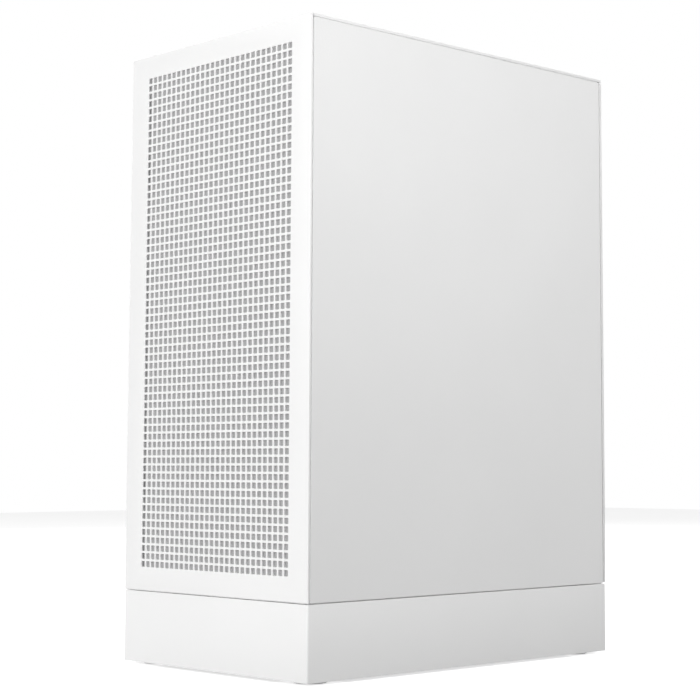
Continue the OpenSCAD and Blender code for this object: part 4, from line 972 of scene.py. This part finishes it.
def add_rear():
    add_rear_panel()
    add_screws()
    add_socket_tongues()
    dress("slot_brackets", STEEL, 0.15, 1)
    dress("rear_io_ports", STEEL, 0.15, 1)
    dress("io_shield", STEEL, 0.1, 1)
    dress("psu_case", BLACK_COAT, 0.4)
    dress("psu_inlet", DARK, 0.4)
    dress("psu_switch", DARK, 0.35)
    dress("psu_circuit", GREEN_BOARD, 0.2, 1)


# ---------------- fans

# A 120 mm fan: half its width, its depth, its bore's radius, and its screws' distance from the axis each way.
FAN_HALF = 59.7
FAN_DEPTH = 25
FAN_BORE = 57.5
SCREW_AT = 52.5
# Signs along u and v of a square's four corners.
CORNERS = [(i, j) for i in (-1, 1) for j in (-1, 1)]


def fan_frame(solid, local):
    """Frame of a 120 mm fan. Local w points out of its air-in face, which is at w = 0."""
    solid.local = local
    flange = 4
    outline = rectangle(-FAN_HALF, -FAN_HALF, FAN_HALF, FAN_HALF, 6, 5)
    screws = [circle(2.2, 12, (i * SCREW_AT, j * SCREW_AT)) for i, j in CORNERS]
    bore = circle(FAN_BORE, 72)
    solid.kind = 0
    solid.plate(outline, [bore] + screws, -flange, 0, 0.6)
    solid.plate(outline, [bore] + screws, -FAN_DEPTH, -FAN_DEPTH + flange)
    for ring in (circle(FAN_BORE + 1.6, 72), bore):
        solid.wall(ring, -FAN_DEPTH + flange, -flange)
    # Motor plate and its four swept arms at the air-out face.
    solid.disc(19, -FAN_DEPTH, -FAN_DEPTH + 2, 0.4, 40)
    for arm in range(4):
        stations = []
        for k in range(9):
            share = k / 8
            r = (17 + share * 41.5)
            a = math.radians(45 + 90 * arm + 16 * math.sin(share * math.pi / 2))
            way = Vector((math.cos(a), math.sin(a), 0))
            across = Vector((-way.y, way.x, 0)) * (1.9 - 0.5 * share)
            middle = way * r
            low, high = -FAN_DEPTH + 0.05, -FAN_DEPTH + (3.4 - 1.0 * share)
            stations.append([(*(middle - across).xy, low), (*(middle + across).xy, low),
                             (*(middle + across * 0.6).xy, high), (*(middle - across * 0.6).xy, high)])
        solid.rings(stations)
    # Soft pads on the corners of the air-in face.
    solid.kind = 1
    for i, j in CORNERS:
        solid.local = local @ Matrix.Translation((i * SCREW_AT, j * SCREW_AT, 0))
        solid.plate(rectangle(-6.4, -6.4, 6.4, 6.4, 4.5, 4), [circle(2.4, 12)], -0.35, 0.0)


def rotor(solid, local, tip, hub, depth, blades, chord, ring=0.0):
    """Impeller with swept, twisted blades. Local w points out of its cap, which is at w = 0."""
    solid.local = local
    cap = [(0, 0), (hub - 3, 0), (hub - 1.1, -0.35), (hub - 0.3, -1.1), (hub, -2.6),
           (hub, -depth), (hub - 1.5, -depth), (hub - 1.5, -3), (0, -3)]
    solid.lathe(cap, 48)
    stations, points = 9, 9
    root = hub - 0.6
    for blade in range(blades):
        start = 2 * math.pi * blade / blades
        rings = []
        for i in range(stations):
            share = i / (stations - 1)
            r = root + (tip - root) * share
            stagger = math.radians(52 - 24 * share)
            length = chord * (0.72 + 0.42 * share)
            sweep = math.radians(20) * share * share
            upper, lower = [], []
            for k in range(points):
                s = k / (points - 1) - 0.5
                camber = 0.10 * length * (1 - 4 * s * s)
                along = s * length
                t = along * math.cos(stagger) + camber * math.sin(stagger)
                w = -along * math.sin(stagger) + camber * math.cos(stagger)
                half = 0.75 * math.sqrt(max(0.05, 1 - 3.4 * s * s))
                for side, store in ((1, upper), (-1, lower)):
                    a = start + sweep + (t + side * half * math.sin(stagger)) / r
                    height = -depth / 2 + w + side * half * math.cos(stagger)
                    height = min(-0.3, max(-depth + 0.3, height))
                    store.append((r * math.cos(a), r * math.sin(a), height))
            rings.append(upper + lower[::-1])
        solid.rings(rings)
    if ring:
        inner = tip - ring
        top, bottom = -depth * 0.12, -depth * 0.9
        solid.lathe([(inner, top), (tip, top), (tip, bottom), (inner, bottom)], 72, True)


def add_fans():
    frames = Solid()
    for name, spin, facing in FANS:
        low = node_box(name)[0]
        centre = joint_place(spin)
        cap_at = (centre.x, centre.y, low.z) if facing == FACE_UNDER else (centre.x, low.y, centre.z)
        cap = at(cap_at, facing)
        fan_frame(frames, cap @ Matrix.Translation((0, 0, 2)))
        finish = (FAN_GREY, "fan_grey") if name == "psu_fan_rotor" else (FAN_WHITE, "fan_white")
        blades = Solid()
        rotor(blades, cap, 56.4, 19, 20, 9, 30)
        blades.piece(name + "_blades", finish[0], name, finish[1], [name])
    frames.piece("fan_frame_set", [FAN_WHITE, GROMMET], "chassis", "fan_white", ["fan_frames"])
    for name in ("card_fan_rotor_1", "card_fan_rotor_2"):
        low, high = node_box(name)
        centre = (low + high) / 2
        blades = Solid()
        rotor(blades, at((centre.x, centre.y, low.z), FACE_UNDER), 42.9, 14.5, 11, 9, 17, 1.2)
        blades.piece(name + "_blades", FAN_GREY, name, "fan_grey", [name])


# Each 120 mm fan: its rotor's node, its joint, and the way its air-in face looks.
FANS = [
    ("front_fan_rotor_1", "front_fan_1_spin", FACE_FRONT),
    ("front_fan_rotor_2", "front_fan_2_spin", FACE_FRONT),
    ("front_fan_rotor_3", "front_fan_3_spin", FACE_FRONT),
    ("rear_fan_rotor", "rear_fan_spin", FACE_FRONT),
    ("cooler_fan_rotor", "cooler_fan_spin", FACE_FRONT),
    ("psu_fan_rotor", "psu_fan_spin", FACE_UNDER),
]


# ---------------- case inside

def add_case_inside():
    for node in ("floor_pan", "front_fan_plate", "top_frame", "motherboard_tray"):
        dress(node, WHITE, 0.2)
    for node in ("psu_shroud", "drive_cage"):
        dress(node, WHITE, 0.3)
    dress("frame_posts", WHITE, 0.4)
    dress("clip_sockets", NYLON, 0.2)
    dress("cable_grommets", GROMMET, 0.4)
    dress("io_housing", DARK, 0.3)
    dress("standoffs", BRASS, 0.2, 1)
    dress("hard_drive", CAST, 0.6)
    add_drive_lid()


def add_drive_lid():
    """Raised lid, hub and screws on the drive."""
    low, high = node_box("hard_drive")
    solid = Solid()
    recess = 0.35
    top = high.z - 0.05
    solid.local = Matrix.Identity(4)
    solid.plate(rectangle(low.x + 5, low.y + 5, high.x - 5, high.y - 5, 8, 6),
                [circle(13, 40, (low.x + 62, (low.y + high.y) / 2))], top - recess, top, 0.2)
    solid.local = at((low.x + 62, (low.y + high.y) / 2, top - 0.3))
    solid.disc(11, -0.5, 0.2, 0.2, 40)
    for u in (low.x + 10, high.x - 10):
        for v in (low.y + 10, high.y - 10):
            solid.local = at((u, v, top - 0.2), FACE_TOP, 20)
            solid.disc(2, 0, 0.2, 0.05, 20)
    solid.piece("drive_lid", STEEL, "chassis", "drive_aluminium")


# ---------------- processor cooler

def add_cooler():
    dress("cooler_cold_plate", NICKEL, 0.4)
    dress("cooler_heat_pipes", NICKEL)
    low, high = node_box("cooler_fins")
    fins, thick = 46, 0.4
    solid = Solid(at((0, 0, 0), FACE_RIGHT))
    step = (high.x - low.x - 1.2) / (fins - 1)
    outline = fin_outline(low, high)
    for k in range(fins):
        x = low.x + 1.2 + k * step
        solid.slab(outline, x - thick, x)
    # Folded ends that hold the fins apart, and the finished cover plate at the glass side.
    solid.kind = 1
    solid.slab(outline, low.x, low.x + 1.2, 0.3, True)
    solid.kind = 0
    for y in (low.y + 9, high.y - 9):
        for z in (low.z, high.z):
            side = 1 if z == low.z else -1
            z0, z1 = sorted((z + side * 0.05, z + side * 0.5))
            solid.local = Matrix.Identity(4)
            solid.box((low.x + 1.2, y - 4, z0), (high.x, y + 4, z1))
    solid.piece("cooler_fin_stack", [FINS, SATIN], "chassis", "fin_aluminium", ["cooler_fins"])


def fin_outline(low, high):
    """Edge of one fin: shallow waves on the two air faces."""
    points = []
    waves, steps, deep = 4, 8, 2.2
    total = waves * steps
    for k in range(total + 1):
        v = low.z + (high.z - low.z) * k / total
        points.append((high.y - deep * (0.5 - 0.5 * math.cos(2 * math.pi * k / steps)), v))
    for k in range(total + 1):
        v = high.z - (high.z - low.z) * k / total
        points.append((low.y + deep * (0.5 - 0.5 * math.cos(2 * math.pi * k / steps)), v))
    return points


# ---------------- board

def board_box(solid, y0, y1, z0, z1, height, bevel=0.0):
    """Box on the board between two places along Y and Z."""
    solid.box((-y1, z0, 0), (-y0, z1, height), bevel)


def board_post(solid, y, z, r, height, bevel=0.2):
    keep = solid.local
    solid.local = keep @ Matrix.Translation((-y, z, 0))
    solid.disc(r, 0, height, bevel, 24)
    solid.local = keep


# Rectangles of the board (y0, z0, y1, z1) that the small parts leave clear.
BOARD_TAKEN = [
    (-92, 260, 14, 430), (24, 300, 132, 430), (-82, 198, -22, 258), (-4, 218, 100, 248), (8, 244, 104, 262),
    (8, 184, 104, 198), (70, 206, 104, 220), (128, 264, 153, 430), (-92, 186, 110, 196),
]


def add_board_details():
    low = node_box("motherboard")[0]
    solid = Solid(at((low.x, 0, 0), FACE_LEFT))
    # Chokes beside the processor, in two rows, with smoothing capacitors before them.
    solid.kind = 0
    for k in range(9):
        board_box(solid, 99, 107, 305 + 10.4 * k, 313 + 10.4 * k, 5.5, 0.7)
    for k in range(6):
        board_box(solid, 34 + 10.4 * k, 42 + 10.4 * k, 388, 396, 5.5, 0.7)
    solid.kind = 1
    for k in range(8):
        board_post(solid, 94.5, 312 + 9.5 * k, 2.6, 7, 0.5)
    for y, z in ((-60, 262), (-52, 262), (118, 262), (118, 270), (110, 212), (118, 212), (104, 270)):
        board_post(solid, y, z, 2.6, 7, 0.5)
    # Chips.
    solid.kind = 2
    for y0, z0, across, up in ((108, 224, 9, 9), (112, 246, 7, 9), (-20, 206, 12, 12), (20, 214, 5, 6),
                               (36, 270, 10, 10), (54, 272, 5, 6), (-16, 262, 5, 6), (114, 282, 6, 6)):
        board_box(solid, y0, y0 + across, z0, z0 + up, 1.2, 0.12)
    # Pin headers along the low edge, and fan headers.
    for y0, pins in ((-70, 9), (-44, 9), (-16, 5), (0, 5), (108, 4)):
        solid.kind = 2
        board_box(solid, y0, y0 + pins * 2.54, 187.5, 192.6, 2.5, 0.15)
        solid.kind = 3
        for k in range(pins):
            for row in (0, 1):
                y, z = y0 + 1.27 + k * 2.54, 188.8 + row * 2.54
                board_box(solid, y - 0.32, y + 0.32, z - 0.32, z + 0.32, 8.5)
    for y0, z0 in ((-88, 300), (20, 422), (112, 300)):
        solid.kind = 1
        board_box(solid, y0, y0 + 5.7, z0 - 5, z0 + 5, 6, 0.3)
    # Coin cell in its holder.
    solid.kind = 2
    board_post(solid, 118, 236, 11, 2.2, 0.2)
    solid.kind = 1
    board_post(solid, 118, 236, 10, 4.4, 0.5)
    add_small_parts(solid)
    solid.piece("board_parts", [DARK, SCREW_STEEL, CHIP, GOLD], "chassis", "dark_plastic")


def add_small_parts(solid):
    """Resistors and ceramic capacitors, scattered over the free places of the board."""
    draw = random.Random(11)
    for _ in range(420):
        y, z = round(draw.uniform(-88, 126) * 2) / 2, round(draw.uniform(200, 426) * 2) / 2
        long_side, short_side = draw.choice([(1.6, 0.8), (1.6, 0.8), (2.0, 1.2), (3.2, 1.6)])
        if draw.random() < 0.5:
            long_side, short_side = short_side, long_side
        if any(y0 - 2 < y < y1 + 2 and z0 - 2 < z < z1 + 2 for y0, z0, y1, z1 in BOARD_TAKEN):
            continue
        half_y, half_z = long_side / 2, short_side / 2
        solid.kind = draw.choice([2, 2, 0])
        board_box(solid, y - half_y * 0.7, y + half_y * 0.7, z - half_z * 0.7, z + half_z * 0.7, 0.62)
        solid.kind = 1
        if long_side > short_side:
            board_box(solid, y - half_y, y + half_y, z - half_z * 0.66, z + half_z * 0.66, 0.55)
        else:
            board_box(solid, y - half_y * 0.66, y + half_y * 0.66, z - half_z, z + half_z, 0.55)


def add_memory_fins():
    """Stamped ridges and a crown on the heat spreaders of the memory."""
    low, high = node_box("memory_modules")
    solid = Solid()
    width = 7
    for y in (low.y + width / 2, high.y - width / 2):
        for side in (-1, 1):
            for k in range(11):
                z = low.z + (16 + 10 * k)
                y0, y1 = sorted((y + side * (width / 2 - 0.3), y + side * (width / 2 + 0.35)))
                solid.box((low.x + 5, y0, z), (high.x - 14, y1, z + 5), 0.25)
    solid.piece("memory_ridges", CARD_WHITE, "chassis", "card_plastic")


def add_board():
    dress("motherboard", BOARD, 0.1, 1)
    dress("processor", NICKEL, 0.3)
    dress("board_heatsinks", FINS, 0.5)
    dress("board_sockets", DARK, 0.25, 1)
    dress("memory_modules", CARD_WHITE, 0.5)
    add_board_details()
    add_memory_fins()


# ---------------- graphics card and power supply

def add_card():
    dress("card_circuit_board", DARK_BOARD, 0.1, 1)
    dress("card_heatsink", FINS, 0.1, 1)
    dress("card_shroud", CARD_WHITE, 0.8, 3)
    dress("card_backplate", CARD_WHITE, 0.4)
    low = node_box("card_shroud")[0]
    solid = Solid()
    # Raised ribs along the long edge that faces the glass, and rims round the two fans.
    for k in range(3):
        y0 = low.y + (14 + 72 * k)
        solid.box((low.x - 0.02, y0, low.z + 14), (low.x + 0.5, y0 + 58, low.z + 26), 0.2)
    for k in (1, 2):
        fan = joint_place("card_fan_%d_spin" % k)
        solid.local = at((fan.x, fan.y, low.z), FACE_UNDER)
        r = 44.2
        solid.lathe([(r, -1.6), (r, -0.02), (r + 1.6, -0.02), (r + 2, -0.5), (r + 2, -1.6)], 72, True)
        solid.local = Matrix.Identity(4)
    solid.piece("card_trim", FAN_GREY, "chassis", "fan_grey")


def add_psu_grille():
    """Wire guard under the power supply's fan: welded rings on crossing bars."""
    low, high = node_box("psu_fan_grille")
    centre = (low + high) / 2
    wire = 0.5
    solid = Solid(at(centre))
    for ring in range(5):
        r = (16.5 + 10.5 * ring)
        solid.lathe(circle(wire, 8, (r, 0)), 64, True)
    for k in range(4):
        a = math.radians(45 + 90 * k)
        way = Vector((math.cos(a), math.sin(a), 0))
        solid.tube([way * r for r in (8, 30, 58.4)], wire, 8)
    solid.disc(9, -wire, wire, 0.2, 32)
    solid.piece("psu_wire_guard", SCREW_STEEL, "chassis", "steel", ["psu_fan_grille"])


# ---------------- cables

# Routes of the cables and the corners of their plugs.
MAIN_ROUTE = [
    (36, 6, 110.5), (36, 1, 110.5), (42, -4, 109), (58, -4, 107), (78, -4, 105), (88, -8, 106),
    (90, -30, 118), (90, -70, 160), (90, -92, 210), (90, -96, 262), (90, -103, 312),
    (82.5, -109, 332), (70, -109, 335), (50, -108, 336), (39, -101, 337), (38, -91, 338),
    (44, -85, 338), (50, -85, 338),
]
PROCESSOR_ROUTE = [
    (16, 6, 110.5), (16, 1, 112), (24, -4, 120), (50, -4, 123), (80, -4, 123), (90, 2, 125),
    (92, 30, 132), (92, 90, 150), (92, 118, 190), (92, 122, 260), (92, 122, 400), (91, 122, 430),
    (82.5, 122, 440), (66, 122, 441), (50, 123, 440), (41, 126, 434), (41, 127, 426), (50, 127, 423),
]
CARD_ROUTE = [
    (-64, 6, 110.5), (-64, 0, 111), (-64, -7, 119), (-64, -9, 135), (-64, -9, 155), (-67, -10, 180),
    (-76, -14, 206), (-82, -19, 226), (-79, -22, 241), (-71, -22, 246), (-65, -22, 246),
]
DRIVE_ROUTE = [
    (-4, 6, 93.5), (-4, 1, 93), (6, -5, 91), (40, -6, 89), (60, -7, 87), (71, -16, 84),
    (73, -40, 76), (73, -66, 67), (71, -78, 64), (65, -80, 63.5),
]
SOCKETS_ROUTE = [
    (78, -128, 458.5), (79, -123, 458.5), (86, -116, 457), (89, -113, 450), (95, -113, 440),
    (99.5, -114, 420), (99.5, -115, 270), (97, -115, 240), (82.5, -113, 226), (68, -112, 228),
    (54, -107, 244), (47, -95, 262), (48, -85, 270), (55, -82, 270.5),
]
PLUGS = [
    ((28.2, 6, 106.2), (43.8, 21, 114.8)), ((8.2, 6, 106.2), (23.8, 21, 114.8)),
    ((-71.8, 6, 106.2), (-56.2, 21, 114.8)), ((-11.8, 6, 89.2), (3.8, 21, 97.8)),
    ((50, -89.5, 313), (61.9, -80.5, 363)), ((50, 119, 418.5), (61.9, 135, 427.5)),
    ((-65, -33, 241), (-53, -11, 251)), ((56, -92, 61), (65, -68, 66)), ((55, -89, 265), (64.9, -75, 276)),
]


def smooth_route(route):
    """Catmull-Rom curve through a route."""
    steps = 4
    points = [Vector(p) for p in route]
    curve = []
    for i in range(len(points) - 1):
        a, b = points[max(i - 1, 0)], points[i]
        c, d = points[i + 1], points[min(i + 2, len(points) - 1)]
        for k in range(steps):
            s = k / steps
            curve.append(0.5 * (2 * b + (c - a) * s + (2 * a - 5 * b + 4 * c - d) * s ** 2
                                + (3 * b - a - 3 * c + d) * s ** 3))
    return curve + [points[-1]]


def strand_places(radius, wire):
    """Centres of as many round wires as fit a round bundle, as (u, v)."""
    places = [(0.0, 0.0)]
    ring = 2 * wire
    while ring + wire <= radius * 1.02:
        places += circle(ring, int(math.pi / math.asin(wire / ring)))
        ring += 2 * wire
    return places


def bundle(solid, route, radius, wire):
    """Parallel wires along a route, which fill a round of that radius."""
    curve = smooth_route(route)
    for place in strand_places(radius, wire):
        strand = []
        for i, (p, side, up) in enumerate(carried(curve, (1, 0.3, 0.2))):
            u, v = Matrix.Rotation(0.035 * i, 2) @ Vector(place)
            strand.append(p + side * u + up * v)
        solid.tube(strand, wire * 0.97, 6)


def add_cables():
    solid = Solid()
    for route, radius, wire in ((MAIN_ROUTE, 5, 1.0), (PROCESSOR_ROUTE, 3, 1.0), (CARD_ROUTE, 4, 1.3),
                                (DRIVE_ROUTE, 2.5, 0.8), (SOCKETS_ROUTE, 2.5, 0.8)):
        bundle(solid, route, radius, wire)
    solid.kind = 1
    for low, high in PLUGS:
        low, high = Vector(low), Vector(high)
        solid.box(low, high, 0.4)
        grip_ribs(solid, low, high)
    solid.piece("cable_bundles", [CABLE, CARD_WHITE], "chassis", "cable_white", ["power_cables"], 60)


def grip_ribs(solid, low, high):
    """Ribs across the longest side of a plug."""
    size = high - low
    axis = max(range(3), key=lambda k: size[k])
    count = max(2, int(size[axis] / 4.2))
    for k in range(count):
        start, end = low.copy(), high.copy()
        start[axis] = low[axis] + (k + 0.25) * size[axis] / count
        end[axis] = start[axis] + 0.5 * size[axis] / count
        grow = Vector([0 if m == axis else 0.12 for m in range(3)])
        solid.box(start - grow, end + grow, 0.1)


# ---------------- the scene

add_camera()
add_lights()
add_floor()
add_outer_shell()
add_rear()
add_case_inside()
add_fans()
add_cooler()
add_board()
add_card()
add_psu_grille()
add_cables()
